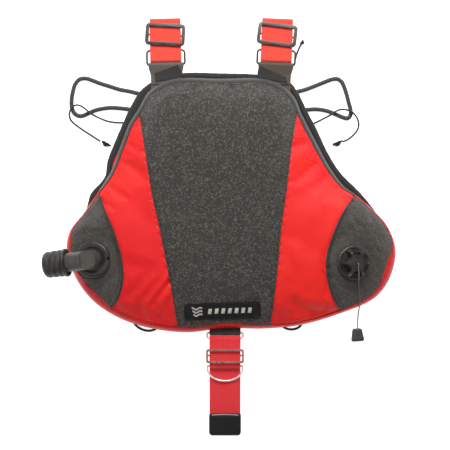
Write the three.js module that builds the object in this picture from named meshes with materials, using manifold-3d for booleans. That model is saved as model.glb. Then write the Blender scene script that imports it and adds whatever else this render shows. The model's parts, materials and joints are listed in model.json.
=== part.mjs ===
// Buoyancy compensator vest for side-mounted cylinders, lying on its wearer side.
// Millimetres, +Z up out of the air cell, +Y towards the head, +X towards the dump valve.
// The origin is on the underside of the back pad, where it rests.
import * as THREE from 'three';
import { mergeVertices } from 'three/addons/utils/BufferGeometryUtils.js';
import Module from 'manifold-3d';

const wasm = await Module();
wasm.setup();

// ---- driving dimensions ----
const bodyScaleX = 1; // stretches every fabric outline sideways
const bodyScaleY = 1; // stretches every fabric outline lengthways
const padThickness = 8;
const padRound = 2.4;
const touchGap = 0.3; // between pieces that lie against each other
const shellThickness = 1.2;
const panelThickness = 1.6;
const airLoft = 33; // rise of the air cell above its edge
const edgeRise = 1.8; // rim of the top panels above the rear shell
const bladderWall = 1;
const bladderShare = 0.86; // share of the loft that the bladder fills
const pipingRadius = 2;
const hemShare = 0.958; // inner edge of the hem, as a share of the outline
const seamRows = 12; // steps along a seam that two panels share
const turnSides = 24; // sides of a turned piece
const bindingWidth = 3;
const bindingHeight = 9.4;

const webbingWidth = 50;
const webbingThickness = 2;
const wireWidth = 3.2; // flats of the octagonal ring wire
const wireBevel = 0.9;
const barClearance = 0.35; // between a wire and the webbing folded round it

const shoulderRingWidth = webbingWidth + 11;
const shoulderRingPitch = 24.3;
const shoulderStrapLength = 77;
const shoulderSlideWidth = webbingWidth + 14;
const shoulderSlideHeight = 36;
const shoulderSlideBar = 4.5;
const shoulderTabTail = 42;

const crotchRingWidth = webbingWidth + 8;
const crotchRingPitch = 9.2;
const crotchLoopBar = 54.3; // D-ring bar, from the anchor bar
const crotchStrapLength = 131;
const crotchSlideWidth = webbingWidth + 11;
const crotchSlideHeight = 22.6;
const crotchTabTail = 46;
const dRingDepth = 24.3;
const sleeveLength = 35.6;
const sleeveHeight = 10.2;
const sleeveWall = 2;

const portTilt = THREE.MathUtils.degToRad(14);
const valveTilt = THREE.MathUtils.degToRad(16);
const inflatorBore = 14.5;
const inflatorNutRadius = 29;
const nutHeight = 6.4;
const portFlat = inflatorNutRadius + 2; // radius of flat fabric round each port
const portBlend = 11;
const elbowRadius = inflatorBore + 0.7; // its foot rests on the end of the flange's barrel
const elbowBore = 12;
const elbowReach = 58;
const elbowClearance = 0.9; // between the nut and the arm that swings over it
const collarRadius = elbowRadius + 7.3;
const collarLength = 6.2;
const nippleRadius = elbowRadius + 6.3;
const nippleStart = 41;
const nippleEnd = 73;
const dumpBore = 13;
const dumpBaseRadius = 27.5;
const dumpCapRadius = 24;
const dumpCapTop = 23;
const pullHole = 1.7;
const windowCount = 6;
const windowWidth = 10;
const windowHeight = 7;

// ---- materials ----
function finish(color, roughness, metalness = 0) {
  return new THREE.MeshStandardMaterial({ color, roughness, metalness });
}
const blackFabric = finish(0x22211f, 0.9);
const greyFabric = finish(0x4b4842, 0.95);
const redFabric = finish(0xe8352a, 0.7);
const redWebbing = finish(0xe63a2e, 0.65);
const blackPlastic = finish(0x2e2c29, 0.5);
const blackRubber = finish(0x1b1b1b, 0.8);
const steel = finish(0xc9c9c6, 0.25, 1);
const blackSteel = finish(0x3a3733, 0.45, 0.6);
const cordBlack = finish(0x17171a, 0.8);
const filmClear = finish(0x8f9a9f, 0.4);

// ---- small tools ----
const vest = new THREE.Group();

function signedVolume(geometry) {
  const p = geometry.attributes.position;
  const index = geometry.index.array;
  const a = new THREE.Vector3();
  const b = new THREE.Vector3();
  const c = new THREE.Vector3();
  let volume = 0;
  for (let i = 0; i < index.length; i += 3) {
    a.fromBufferAttribute(p, index[i]);
    b.fromBufferAttribute(p, index[i + 1]);
    c.fromBufferAttribute(p, index[i + 2]);
    volume += a.dot(b.cross(c)) / 6;
  }
  return volume;
}

// Merges the vertices, drops empty triangles and turns every face outwards.
function closed(source) {
  const bare = new THREE.BufferGeometry();
  bare.setAttribute('position', source.attributes.position.clone());
  if (source.index) bare.setIndex(source.index.clone());
  const merged = mergeVertices(bare, 1e-4);
  const kept = [];
  const index = merged.index.array;
  for (let i = 0; i < index.length; i += 3) {
    const [a, b, c] = [index[i], index[i + 1], index[i + 2]];
    if (a !== b && b !== c && c !== a) kept.push(a, b, c);
  }
  merged.setIndex(kept);
  if (signedVolume(merged) < 0) {
    for (let i = 0; i < kept.length; i += 3) [kept[i], kept[i + 1]] = [kept[i + 1], kept[i]];
    merged.setIndex(kept);
  }
  return merged;
}

function solid(geometry) {
  const g = closed(geometry);
  return new wasm.Manifold(new wasm.Mesh({
    numProp: 3,
    vertProperties: new Float32Array(g.attributes.position.array),
    triVerts: new Uint32Array(g.index.array),
  }));
}

function fromSolid(manifold) {
  const mesh = manifold.getMesh();
  const g = new THREE.BufferGeometry();
  g.setAttribute('position', new THREE.BufferAttribute(new Float32Array(mesh.vertProperties), 3));
  g.setIndex(Array.from(mesh.triVerts));
  return g;
}

function piece(name, geometry, material, parent = vest) {
  const mesh = new THREE.Mesh(closed(geometry), material.clone());
  mesh.name = name;
  parent.add(mesh);
  return mesh;
}

function cylinder(radius, low, high, sides = turnSides) {
  const g = new THREE.CylinderGeometry(radius, radius, high - low, sides);
  g.rotateX(Math.PI / 2);
  g.translate(0, 0, (low + high) / 2);
  return g;
}

// A turned ring or bush about Z from (radius, height) corners.
function turned(corners, sides = turnSides) {
  const ring = corners.map(([r, z]) => new THREE.Vector2(r, z));
  ring.push(ring[0].clone());
  const g = new THREE.LatheGeometry(ring, sides);
  g.rotateX(Math.PI / 2);
  return g;
}

function box(width, depth, height, x = 0, y = 0, z = 0) {
  const g = new THREE.BoxGeometry(width, depth, height);
  g.translate(x, y, z);
  return g;
}

function place(points) {
  return points.map(([x, y, z = 0]) => new THREE.Vector3(x * bodyScaleX, y * bodyScaleY, z));
}

function curveThrough(points, isClosed = false) {
  return new THREE.CatmullRomCurve3(place(points), isClosed, 'centripetal');
}

// A tube of `radius` along hand-placed points.
function tube(points, radius, steps, sides = 8) {
  const section = new THREE.Shape();
  section.absarc(0, 0, radius, 0, Math.PI * 2, false);
  const extrudePath = new THREE.CatmullRomCurve3(points, false, 'centripetal');
  const ring = new THREE.Shape(section.getSpacedPoints(sides).slice(0, sides));
  return new THREE.ExtrudeGeometry(ring, { steps, extrudePath, bevelEnabled: false });
}

// A closed sheet: lower(u, v) and upper(u, v) give its two faces.
function sheet(lower, upper, rows, columns) {
  const positions = [];
  const index = [];
  const at = (side, i, j) => side * (rows + 1) * (columns + 1) + i * (columns + 1) + j;
  for (const face of [lower, upper]) {
    for (let i = 0; i <= rows; i++) {
      for (let j = 0; j <= columns; j++) positions.push(...face(i / rows, j / columns).toArray());
    }
  }
  const quad = (a, b, c, d) => index.push(a, b, c, a, c, d);
  for (let i = 0; i < rows; i++) {
    for (let j = 0; j < columns; j++) {
      quad(at(1, i, j), at(1, i, j + 1), at(1, i + 1, j + 1), at(1, i + 1, j));
      quad(at(0, i, j), at(0, i + 1, j), at(0, i + 1, j + 1), at(0, i, j + 1));
    }
    quad(at(0, i, 0), at(1, i, 0), at(1, i + 1, 0), at(0, i + 1, 0));
    quad(at(0, i, columns), at(0, i + 1, columns), at(1, i + 1, columns), at(1, i, columns));
  }
  for (let j = 0; j < columns; j++) {
    quad(at(0, 0, j), at(0, 0, j + 1), at(1, 0, j + 1), at(1, 0, j));
    quad(at(0, rows, j), at(1, rows, j), at(1, rows, j + 1), at(0, rows, j + 1));
  }
  const g = new THREE.BufferGeometry();
  g.setAttribute('position', new THREE.Float32BufferAttribute(positions, 3));
  g.setIndex(index);
  return g;
}

// ---- the air cell's outline and surface ----
const wingOutline = [
  [-78, 234], [-5, 235], [68, 234], [97, 222], [115, 204], [126, 178], [149, 133], [172, 91],
  [194, 62], [212, 49], [241, 24], [264, -2], [277, -40], [267, -86], [243, -117], [190, -141],
  [125, -160], [63, -166], [3, -165], [-58, -172], [-118, -165], [-167, -149], [-207, -123],
  [-235, -87], [-251, -40], [-246, -10], [-224, 19], [-198, 57], [-180, 86], [-165, 126],
  [-151, 162], [-136, 186], [-118, 215],
];
const outlineCentreY = 16;
const outlineSamples = 240;
const edgeCurve = curveThrough(wingOutline, true);
const centre = place([[0, outlineCentreY]])[0];

const edgeByAngle = edgeCurve.getSpacedPoints(outlineSamples).slice(0, outlineSamples)
  .map((p) => ({
    angle: Math.atan2(p.y - centre.y, p.x - centre.x),
    reach: Math.hypot(p.x - centre.x, p.y - centre.y),
  }))
  .sort((a, b) => a.angle - b.angle);

// Distance from the centre to the outline in the direction `angle`.
function reachAt(angle) {
  const turn = Math.PI * 2;
  const wrapped = angle < edgeByAngle[0].angle ? angle + turn : angle;
  const next = edgeByAngle.findIndex((e) => e.angle > wrapped);
  const b = edgeByAngle[next < 0 ? 0 : next];
  const a = edgeByAngle[next <= 0 ? outlineSamples - 1 : next - 1];
  const low = a.angle > b.angle && next >= 0 ? a.angle - turn : a.angle;
  const high = next < 0 ? b.angle + turn : b.angle;
  return THREE.MathUtils.mapLinear(wrapped, low, high, a.reach, b.reach);
}

function shareOfOutline(x, y) {
  const away = Math.hypot(x - centre.x, y - centre.y);
  return away === 0 ? 0 : away / reachAt(Math.atan2(y - centre.y, x - centre.x));
}

function onOutline(angle, share) {
  const reach = reachAt(angle) * share;
  return [centre.x + reach * Math.cos(angle), centre.y + reach * Math.sin(angle)];
}

// Lowest point of the outline across webbing that hangs at x.
function edgeBelow(x) {
  const across = edgeCurve.getSpacedPoints(4 * outlineSamples)
    .filter((p) => Math.abs(p.x - x) <= webbingWidth / 2 && p.y < centre.y);
  return Math.min(...across.map((p) => p.y));
}

const rearShellLow = padThickness + touchGap + webbingThickness + touchGap;
const rearShellHigh = rearShellLow + shellThickness;
const edgeHeight = rearShellHigh + edgeRise;

function pillow(x, y) {
  const share = shareOfOutline(x, y);
  return edgeHeight + airLoft * Math.sqrt(Math.max(0, 1 - share ** 4));
}

function makePort(point, tilt, lean) {
  const at = place([point])[0];
  at.z = pillow(at.x, at.y);
  const group = new THREE.Group();
  group.position.copy(at);
  group.rotation.y = lean * tilt;
  vest.add(group);
  return { at, tilt, lean, group };
}
const inflator = makePort([-206, -55], portTilt, -1);
const dump = makePort([206, -60], valveTilt, 1);

function flatness(port, x, y) {
  const away = Math.hypot(x - port.at.x, y - port.at.y);
  return 1 - THREE.MathUtils.smoothstep(away, portFlat, portFlat + portBlend);
}

// Underside of the top panels: a pillow, pressed flat round the two ports.
function surface(x, y) {
  let height = pillow(x, y);
  for (const port of [inflator, dump]) {
    const flat = port.at.z - (x - port.at.x) * port.lean * Math.tan(port.tilt);
    height = THREE.MathUtils.lerp(height, flat, flatness(port, x, y));
  }
  return height;
}

// ---- back pad, hidden webbing and rear shell ----
const padOutline = [
  [-65, 245], [-5, 245], [52, 243], [104, 233], [117, 219], [134, 186], [151, 154], [168, 118],
  [190, 83], [222, 50], [248, 17], [262, -10], [268, -42], [258, -82], [237, -110], [188, -133],
  [125, -152], [63, -158], [3, -158], [-58, -163], [-118, -157], [-163, -142], [-200, -118],
  [-227, -84], [-243, -42], [-238, -12], [-223, 16], [-214, 49], [-199, 66], [-190, 80],
  [-186, 105], [-175, 133], [-159, 170], [-143, 202], [-130, 220], [-110, 233],
];
const padShape = new THREE.Shape(
  curveThrough(padOutline, true).getSpacedPoints(60).slice(0, 60).map((p) => new THREE.Vector2(p.x, p.y)),
);
const padBody = new THREE.ExtrudeGeometry(padShape, {
  depth: padThickness - 2 * padRound,
  bevelThickness: padRound,
  bevelSize: padRound,
  bevelOffset: -padRound,
  bevelSegments: 1,
  steps: 1,
});
padBody.translate(0, 0, padRound);
piece('back_pad', padBody, blackFabric);

const webbingLow = padThickness + touchGap;
const webbingMiddle = webbingLow + webbingThickness / 2;
const shoulderX = [-92 * bodyScaleX, 85 * bodyScaleX];
const shoulderBarY = 257.5 * bodyScaleY;
const crotchX = 3 * bodyScaleX;
const crotchStandoff = 5.45; // from the outline's edge across the webbing to the anchor bar
const crotchBarY = edgeBelow(crotchX) - crotchStandoff;
const yokeClearance = 1.6; // the tabs stand a little askew above it
const yokeY = shoulderBarY - shoulderTabTail - yokeClearance - webbingWidth / 2;
const yokeWidth = shoulderX[1] - shoulderX[0] + webbingWidth;
const yokeX = (shoulderX[0] + shoulderX[1]) / 2;
piece('yoke_webbing', box(yokeWidth, webbingWidth, webbingThickness, yokeX, yokeY, webbingMiddle),
  redWebbing);
const spineTop = yokeY - webbingWidth / 2 - touchGap;
const spineBottom = crotchBarY + crotchTabTail + touchGap;
piece('spine_webbing', box(webbingWidth, spineTop - spineBottom, webbingThickness,
  crotchX, (spineTop + spineBottom) / 2, webbingMiddle), redWebbing);

const shellSides = 96;
const edgeAngles = Array.from({ length: shellSides }, (_, i) => (2 * i * Math.PI) / shellSides - Math.PI);
const shellShape = new THREE.Shape(edgeAngles.map((a) => new THREE.Vector2(...onOutline(a, 0.996))));
const rearShell = new THREE.ExtrudeGeometry(shellShape, { depth: shellThickness, bevelEnabled: false });
rearShell.translate(0, 0, rearShellLow);
piece('rear_shell', rearShell, blackFabric);

// ---- air bladder: a thin bag with an opening under each port ----
const bladderLow = rearShellHigh + touchGap;
const bladderReach = 0.9;
const bossRadius = 27;
const barrelWall = 3.5; // of the threaded barrel that each port's nut screws onto
const bossDrop = 14;
const bagSpan = 180; // distance over which a wall's thickness is turned into a share of the outline

function bag(inset) {
  const low = bladderLow + inset;
  const turnSteps = 30;
  const rings = 4;
  const positions = [centre.x, centre.y, low, centre.x, centre.y, bagTop(0, inset)];
  const index = [];
  for (let j = 0; j < turnSteps; j++) {
    const angle = (j * 2 * Math.PI) / turnSteps - Math.PI;
    for (let i = 1; i <= rings; i++) {
      const share = ((bladderReach - inset / bagSpan) * i) / rings;
      const [x, y] = onOutline(angle, share);
      positions.push(x, y, i === rings ? low + (bagTop(share, inset) - low) / 2 : bagTop(share, inset));
    }
    const [x, y] = onOutline(angle, bladderReach * 0.94 - inset / bagSpan);
    positions.push(x, y, low);
  }
  const at = (j, i) => 2 + (j % turnSteps) * (rings + 1) + (i - 1);
  for (let j = 0; j < turnSteps; j++) {
    index.push(1, at(j, 1), at(j + 1, 1));
    for (let i = 1; i <= rings; i++) {
      index.push(at(j, i), at(j, i + 1), at(j + 1, i + 1), at(j, i), at(j + 1, i + 1), at(j + 1, i));
    }
    index.push(0, at(j + 1, rings + 1), at(j, rings + 1));
  }
  const g = new THREE.BufferGeometry();
  g.setAttribute('position', new THREE.Float32BufferAttribute(positions, 3));
  g.setIndex(index);
  return g;
}

function bagTop(share, inset) {
  const loft = airLoft * Math.sqrt(Math.max(0, 1 - share ** 4));
  return edgeHeight + loft * bladderShare - 2 * touchGap - inset;
}

function inPort(port, geometry) {
  port.group.updateMatrixWorld(true);
  return geometry.clone().applyMatrix4(port.group.matrixWorld);
}

const bossTop = -touchGap - 1.3;
let bladder = solid(bag(0));
let bladderHollow = solid(bag(bladderWall));
for (const port of [inflator, dump]) {
  bladder = bladder.add(solid(inPort(port, cylinder(bossRadius, -bossDrop, bossTop))));
  const inside = cylinder(bossRadius - bladderWall, -bossDrop - 1, bossTop - bladderWall);
  bladderHollow = bladderHollow.add(solid(inPort(port, inside)));
}
bladder = bladder.subtract(bladderHollow);
for (const [port, bore] of [[inflator, inflatorBore], [dump, dumpBore]]) {
  bladder = bladder.subtract(solid(inPort(port, cylinder(bore + barrelWall + touchGap, -bossDrop, 4))));
}
piece('air_bladder', fromSolid(bladder), filmClear);

// ---- top panels, cut from one surface and kept apart along their seams ----
const panelGap = 1;
const panelLimit = 0.945;
const upperLimit = 0.99;
const hemStartY = -5;

function onSurface(x, y, lift) {
  const limit = y < hemStartY * bodyScaleY ? panelLimit : upperLimit;
  const share = shareOfOutline(x, y);
  const pull = share > limit ? limit / share : 1;
  const px = centre.x + (x - centre.x) * pull;
  const py = centre.y + (y - centre.y) * pull;
  return new THREE.Vector3(px, py, surface(px, py) + lift);
}

// Points along an edge made of runs, each [points, rows]. Two panels that share a run share its points.
function edgeLine(runs) {
  return runs.flatMap(([points, rows], k) => {
    const line = curveThrough(points).getSpacedPoints(rows);
    return k === 0 ? line : line.slice(1);
  });
}

// Moves each point of a line square to it, towards the facing line, to leave the seam's gap.
function keptBack(line, facing) {
  return line.map((p, i) => {
    const ahead = line[Math.min(i + 1, line.length - 1)];
    const along = new THREE.Vector3().subVectors(ahead, line[Math.max(i - 1, 0)]);
    const square = new THREE.Vector3(-along.y, along.x, 0).normalize();
    const across = new THREE.Vector3().subVectors(facing[i], p);
    if (square.dot(across) < 0) square.negate();
    return p.clone().addScaledVector(square, Math.min(panelGap, 0.3 * across.length()));
  });
}

function panel(leftRuns, rightRuns, columns) {
  const left = edgeLine(leftRuns);
  const right = edgeLine(rightRuns);
  const rows = left.length - 1;
  const [a, b] = [keptBack(left, right), keptBack(right, left)];
  const face = (lift) => (u, v) => {
    const i = Math.round(u * rows);
    const p = a[i].clone().lerp(b[i], v);
    return onSurface(p.x, p.y, lift);
  };
  return sheet(face(0), face(panelThickness), rows, columns);
}

const centreSeamLeft = [[-134, 176], [-125, 122], [-113, 49], [-102, 0], [-86, -81], [-73, -157]];
const centreSeamRight = [[120, 184], [110, 130], [102, 65], [93, 0], [86, -73], [76, -154]];
const topRows = 3;
const sideRows = 5;
const hemRows = 3;
const centreRows = sideRows + seamRows + hemRows;
const centreTopLeft = [[-78, 231], [-108, 222], [-129, 201], centreSeamLeft[0]];
const centreTopRight = [[68, 231], [97, 218], [113, 201], centreSeamRight[0]];
piece('centre_panel', panel([[centreTopLeft, topRows], [centreSeamLeft, centreRows]],
  [[centreTopRight, topRows], [centreSeamRight, centreRows]], 6), greyFabric);

const patchSeamLeft = [
  [-199, 50], [-193, 32], [-181, 5], [-170, -24], [-162, -60], [-161, -89], [-168, -113], [-180, -131],
];
const patchSeamRight = [
  [210, 45], [191, 18], [175, -18], [166, -50], [167, -81], [175, -110], [188, -133],
];
const redEdgeLeft = [[-138, 176], [-151, 160], [-165, 126], [-177, 100], [-182, 77], [-197, 54]];
const redEdgeRight = [[123, 182], [136, 158], [152, 125], [171, 91], [193, 61], [208, 49]];
const redHemLeft = [[-160, -142], [-113, -156], [-77, -161]];
const redHemRight = [[157, -146], [125, -154], [80, -158]];
piece('red_panel_left', panel([
  [[...redEdgeLeft, patchSeamLeft[0]], sideRows], [patchSeamLeft, seamRows],
  [[patchSeamLeft.at(-1), ...redHemLeft], hemRows],
], [[centreSeamLeft, centreRows]], 5), redFabric);
piece('red_panel_right', panel([[centreSeamRight, centreRows]], [
  [[...redEdgeRight, patchSeamRight[0]], sideRows], [patchSeamRight, seamRows],
  [[patchSeamRight.at(-1), ...redHemRight], hemRows],
], 5), redFabric);

// The fabric round a port is a flat disc, so that the gasket and the flange seat on it.
const seatRadius = inflatorNutRadius - 1;
const seatLap = 0.6;
const seatSides = 36;
function portPatch(name, port, bore, leftPoints, rightPoints) {
  const cloth = solid(panel([[leftPoints, seamRows]], [[rightPoints, seamRows]], 6));
  const room = solid(inPort(port, cylinder(seatRadius - seatLap, -8, 8, seatSides)));
  const seat = solid(inPort(port, cylinder(seatRadius, 0, panelThickness, seatSides)));
  const hole = solid(inPort(port, cylinder(bore + barrelWall + touchGap, -8, 8)));
  piece(name, fromSolid(cloth.subtract(room).add(seat).subtract(hole)), greyFabric);
}
portPatch('valve_patch_left', inflator, inflatorBore, [
  [-202, 49], [-220, 20], [-238, -4], [-245, -22], [-243, -42], [-228, -84], [-201, -117], [-183, -130],
], patchSeamLeft);
portPatch('valve_patch_right', dump, dumpBore, patchSeamRight, [
  [213, 45], [236, 24], [259, -3], [270, -34], [266, -60], [257, -84], [234, -110], [192, -133],
]);

function pipingAlong(name, seam) {
  const curve = curveThrough(seam);
  const lift = panelThickness + 2 * touchGap + pipingRadius;
  const points = [];
  for (let i = 0; i <= 14; i++) {
    const p = curve.getPointAt(0.03 + (0.94 * i) / 14);
    points.push(onSurface(p.x, p.y, lift));
  }
  piece(name, tube(points, pipingRadius, 15), blackFabric);
}
pipingAlong('piping_left', patchSeamLeft);
pipingAlong('piping_right', patchSeamRight);

// ---- rolled hem round the bottom and binding round the top ----
const hemFrom = Math.atan2(-22 - outlineCentreY, -250);
const hemTo = Math.atan2(-40 - outlineCentreY, 277);
const hemLow = rearShellHigh + touchGap;
function hemPoint(lift) {
  return (u, v) => {
    const angle = THREE.MathUtils.lerp(hemFrom, hemTo, u);
    const [x, y] = onOutline(angle, THREE.MathUtils.lerp(hemShare, 1, v));
    return new THREE.Vector3(x, y, lift === null ? hemLow : surface(x, y) + lift);
  };
}
piece('bottom_hem', sheet(hemPoint(null), hemPoint(panelThickness), 42, 2), redFabric);

const bindingFrom = Math.atan2(52 - outlineCentreY, 212);
const bindingTo = Math.atan2(60 - outlineCentreY, -198);
function bindingPoint(height) {
  return (u, v) => {
    const angle = THREE.MathUtils.lerp(bindingFrom, bindingTo, u);
    const [x, y] = onOutline(angle, 1);
    const out = new THREE.Vector2(x - centre.x, y - centre.y).setLength(2 * touchGap + bindingWidth * v);
    return new THREE.Vector3(x + out.x, y + out.y, height);
  };
}
piece('top_binding', sheet(bindingPoint(rearShellLow), bindingPoint(rearShellLow + bindingHeight), 60, 1),
  blackFabric);

// ---- label ----
const labelCentre = [-1, -138];
const labelTurn = THREE.MathUtils.degToRad(1.2);
function labelFace(lift) {
  return (u, v) => {
    const across = (v - 0.5) * 120;
    const along = (0.5 - u) * 25;
    const x = labelCentre[0] + across * Math.cos(labelTurn) - along * Math.sin(labelTurn);
    const y = labelCentre[1] + across * Math.sin(labelTurn) + along * Math.cos(labelTurn);
    return onSurface(x * bodyScaleX, y * bodyScaleY, lift);
  };
}
const labelLift = panelThickness + 2 * touchGap;
piece('label', sheet(labelFace(labelLift), labelFace(labelLift + 1.6), 3, 8), blackRubber);

// ---- port hardware, in each port's own frame: z = 0 is the underside of the patch ----
const flangeTop = bossTop - bladderWall - touchGap;
const flangeThickness = 2.5;
const barrelTop = 8.5;
const gasketLow = panelThickness + touchGap + 0.1;
const gasketHigh = gasketLow + 1.2;
const nutLow = gasketHigh + touchGap;

function portSeat(prefix, port, bore, nutRadius) {
  const barrel = bore + barrelWall;
  const nutBore = barrel + 0.4;
  const flangeRadius = bossRadius - bladderWall - 1;
  piece(`${prefix}_flange`, turned([
    [bore, flangeTop - flangeThickness], [flangeRadius, flangeTop - flangeThickness],
    [flangeRadius, flangeTop], [barrel, flangeTop], [barrel, barrelTop], [bore, barrelTop],
  ]), blackPlastic, port.group);
  piece(`${prefix}_gasket`, turned([
    [nutBore, gasketLow], [nutRadius - 2, gasketLow], [nutRadius - 2, gasketHigh], [nutBore, gasketHigh],
  ]), blackRubber, port.group);
  return nutBore;
}

const inflatorNutBore = portSeat('inflator', inflator, inflatorBore, inflatorNutRadius);
piece('inflator_nut', turned([
  [inflatorNutBore, nutLow], [inflatorNutRadius, nutLow], [inflatorNutRadius, nutLow + 2.6],
  [inflatorNutRadius - 2, nutLow + 5], [inflatorNutRadius - 6, nutLow + nutHeight],
  [inflatorNutBore, nutLow + nutHeight],
]), blackPlastic, inflator.group);

const stubRadius = inflatorBore - 1.9;
piece('elbow_o_ring', turned([
  [stubRadius + touchGap, 1], [inflatorBore - touchGap, 1], [inflatorBore - touchGap, 2.6],
  [stubRadius + touchGap, 2.6],
], 24), blackRubber, inflator.group);

// The elbow turns in the flange; its own group sets where it points at rest.
const elbowGroup = new THREE.Group();
elbowGroup.rotation.z = Math.PI + THREE.MathUtils.degToRad(7);
inflator.group.add(elbowGroup);

function sideways(geometry, height) {
  geometry.rotateY(Math.PI / 2);
  geometry.translate(0, 0, height);
  return geometry;
}
const elbowLow = barrelTop + touchGap;
const elbowAxisHeight = nutLow + nutHeight + elbowClearance + elbowRadius;
const elbowLeg = cylinder(elbowRadius, elbowLow, elbowAxisHeight + elbowRadius);
const elbowStub = cylinder(stubRadius, flangeTop, elbowLow + 1);
const elbowArm = sideways(cylinder(elbowRadius, -elbowRadius, elbowReach), elbowAxisHeight);
const mitre = box(80, 80, 40, 0, 0, 20);
mitre.rotateY(THREE.MathUtils.degToRad(-45));
mitre.translate(-elbowRadius * 0.42, 0, elbowAxisHeight + elbowRadius * 0.42);
let elbow = solid(elbowLeg).add(solid(elbowArm)).add(solid(elbowStub)).subtract(solid(mitre));
elbow = elbow.subtract(solid(cylinder(elbowBore, flangeTop - 1, elbowAxisHeight, 20)));
elbow = elbow.subtract(solid(sideways(cylinder(elbowBore, 0, elbowReach + 1, 20), elbowAxisHeight)));
piece('inflator_elbow', fromSolid(elbow), blackPlastic, elbowGroup);

const spigotClearance = 0.3;
const cuffBore = elbowRadius + spigotClearance;
piece('hose_collar', sideways(turned([
  [cuffBore, nippleStart - touchGap - collarLength], [collarRadius, nippleStart - touchGap - collarLength],
  [collarRadius, nippleStart - 1.5], [collarRadius - 2, nippleStart - touchGap],
  [cuffBore, nippleStart - touchGap],
]), elbowAxisHeight), blackPlastic, elbowGroup);

function ribbedCuff() {
  const mouth = elbowBore - 1;
  const ribs = 3;
  const ribPitch = (nippleEnd - nippleStart - 8) / ribs;
  const corners = [[cuffBore, nippleStart]];
  for (let i = 0; i < ribs; i++) {
    const start = nippleStart + i * ribPitch;
    corners.push([nippleRadius - 1.4, start], [nippleRadius, start + ribPitch * 0.25]);
    corners.push([nippleRadius, start + ribPitch * 0.75]);
  }
  corners.push([nippleRadius - 2.5, nippleEnd - 5], [nippleRadius - 6.5, nippleEnd], [mouth, nippleEnd]);
  corners.push([mouth, elbowReach + touchGap], [cuffBore, elbowReach + touchGap]);
  return turned(corners);
}
piece('hose_cuff', sideways(ribbedCuff(), elbowAxisHeight), blackRubber, elbowGroup);

const dumpNutBore = portSeat('dump', dump, dumpBore, dumpBaseRadius);
piece('dump_base', turned([
  [dumpNutBore, nutLow], [dumpBaseRadius, nutLow], [dumpBaseRadius, nutLow + 2.4],
  [dumpBaseRadius - 2, nutLow + 4.4], [dumpNutBore, nutLow + 4.4],
]), blackPlastic, dump.group);

const capLow = Math.max(nutLow + 4.4, barrelTop) + touchGap;
const capWall = 2;
let cap = solid(turned([
  [dumpCapRadius, capLow], [dumpCapRadius, capLow + 5], [dumpCapRadius - 5, dumpCapTop],
  [pullHole, dumpCapTop],
  [pullHole, dumpCapTop - capWall], [dumpCapRadius - 6.2, dumpCapTop - capWall],
  [dumpCapRadius - capWall, capLow + 4.6], [dumpCapRadius - capWall, capLow],
]));
for (let i = 0; i < windowCount; i++) {
  const opening = box(14, windowWidth, windowHeight, dumpCapRadius - 1, 0, capLow + 7.6);
  opening.rotateZ((i * 2 * Math.PI) / windowCount + Math.PI / 6);
  cap = cap.subtract(solid(opening));
}
piece('dump_cap', fromSolid(cap), blackPlastic, dump.group);

const poppetLow = barrelTop + touchGap;
const poppetTop = poppetLow + 2;
piece('dump_poppet', turned([
  [0, poppetLow], [dumpBore + 1.5, poppetLow], [dumpBore + 1.5, poppetTop - 0.4], [4, poppetTop],
  [4, poppetTop + 2], [0, poppetTop + 2],
], 20), blackRubber, dump.group);

function coilSpring(radius, wire, low, high, turns) {
  const points = [];
  const steps = turns * 10;
  for (let i = 0; i <= steps; i++) {
    const angle = (i * 2 * Math.PI * turns) / steps;
    const z = THREE.MathUtils.lerp(low, high, i / steps);
    points.push(new THREE.Vector3(radius * Math.cos(angle), radius * Math.sin(angle), z));
  }
  return tube(points, wire / 2, steps, 6);
}
const springWire = 1;
piece('dump_spring', coilSpring(8, springWire, poppetTop + springWire, dumpCapTop - capWall - springWire, 4),
  steel, dump.group);

// ---- cords: routes placed by hand ----
function cord(name, points, diameter, steps, parent = vest) {
  piece(name, tube(place(points), diameter / 2, steps), cordBlack, parent);
}

cord('pull_cord', [
  [211.9, -60, 61], [212.4, -60.1, 63.4], [212.8, -61.4, 64.9], [213.1, -64.5, 65], [213.4, -70, 63.7],
  [213.8, -76, 63.5], [214.1, -79.8, 62.9], [214.5, -83.2, 60], [214.9, -86.2, 54.5], [215.2, -89.4, 46.5],
  [215.5, -92.6, 41], [216, -97, 38.6], [216.6, -103, 36.6], [217.6, -111, 34.2], [218.3, -118, 30.6],
  [218.8, -124.8, 26.7], [219, -130.2, 20.1], [219.1, -134, 12.3], [219, -138.3, 5], [218.7, -143.5, 2],
  [218, -151, 1.6], [217.4, -159, 2.8], [217, -166.4, 5.2],
], 1.8, 44);

const toggleLength = 21;
const toggleTopY = -167 * bodyScaleY;
const toggleShape = new THREE.Shape([
  new THREE.Vector2(-7.5, 0), new THREE.Vector2(7.5, 0), new THREE.Vector2(9, -2), new THREE.Vector2(11, -18),
  new THREE.Vector2(9, -toggleLength), new THREE.Vector2(-9, -toggleLength), new THREE.Vector2(-11, -18),
  new THREE.Vector2(-9, -2),
]);
const toggle = new THREE.ExtrudeGeometry(toggleShape, {
  depth: 6, bevelThickness: 2, bevelSize: 2, bevelOffset: -2, bevelSegments: 1,
});
toggle.rotateZ(THREE.MathUtils.degToRad(3));
toggle.translate(217 * bodyScaleX, toggleTopY, 2.3);
piece('pull_toggle', toggle, blackRubber);

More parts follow.
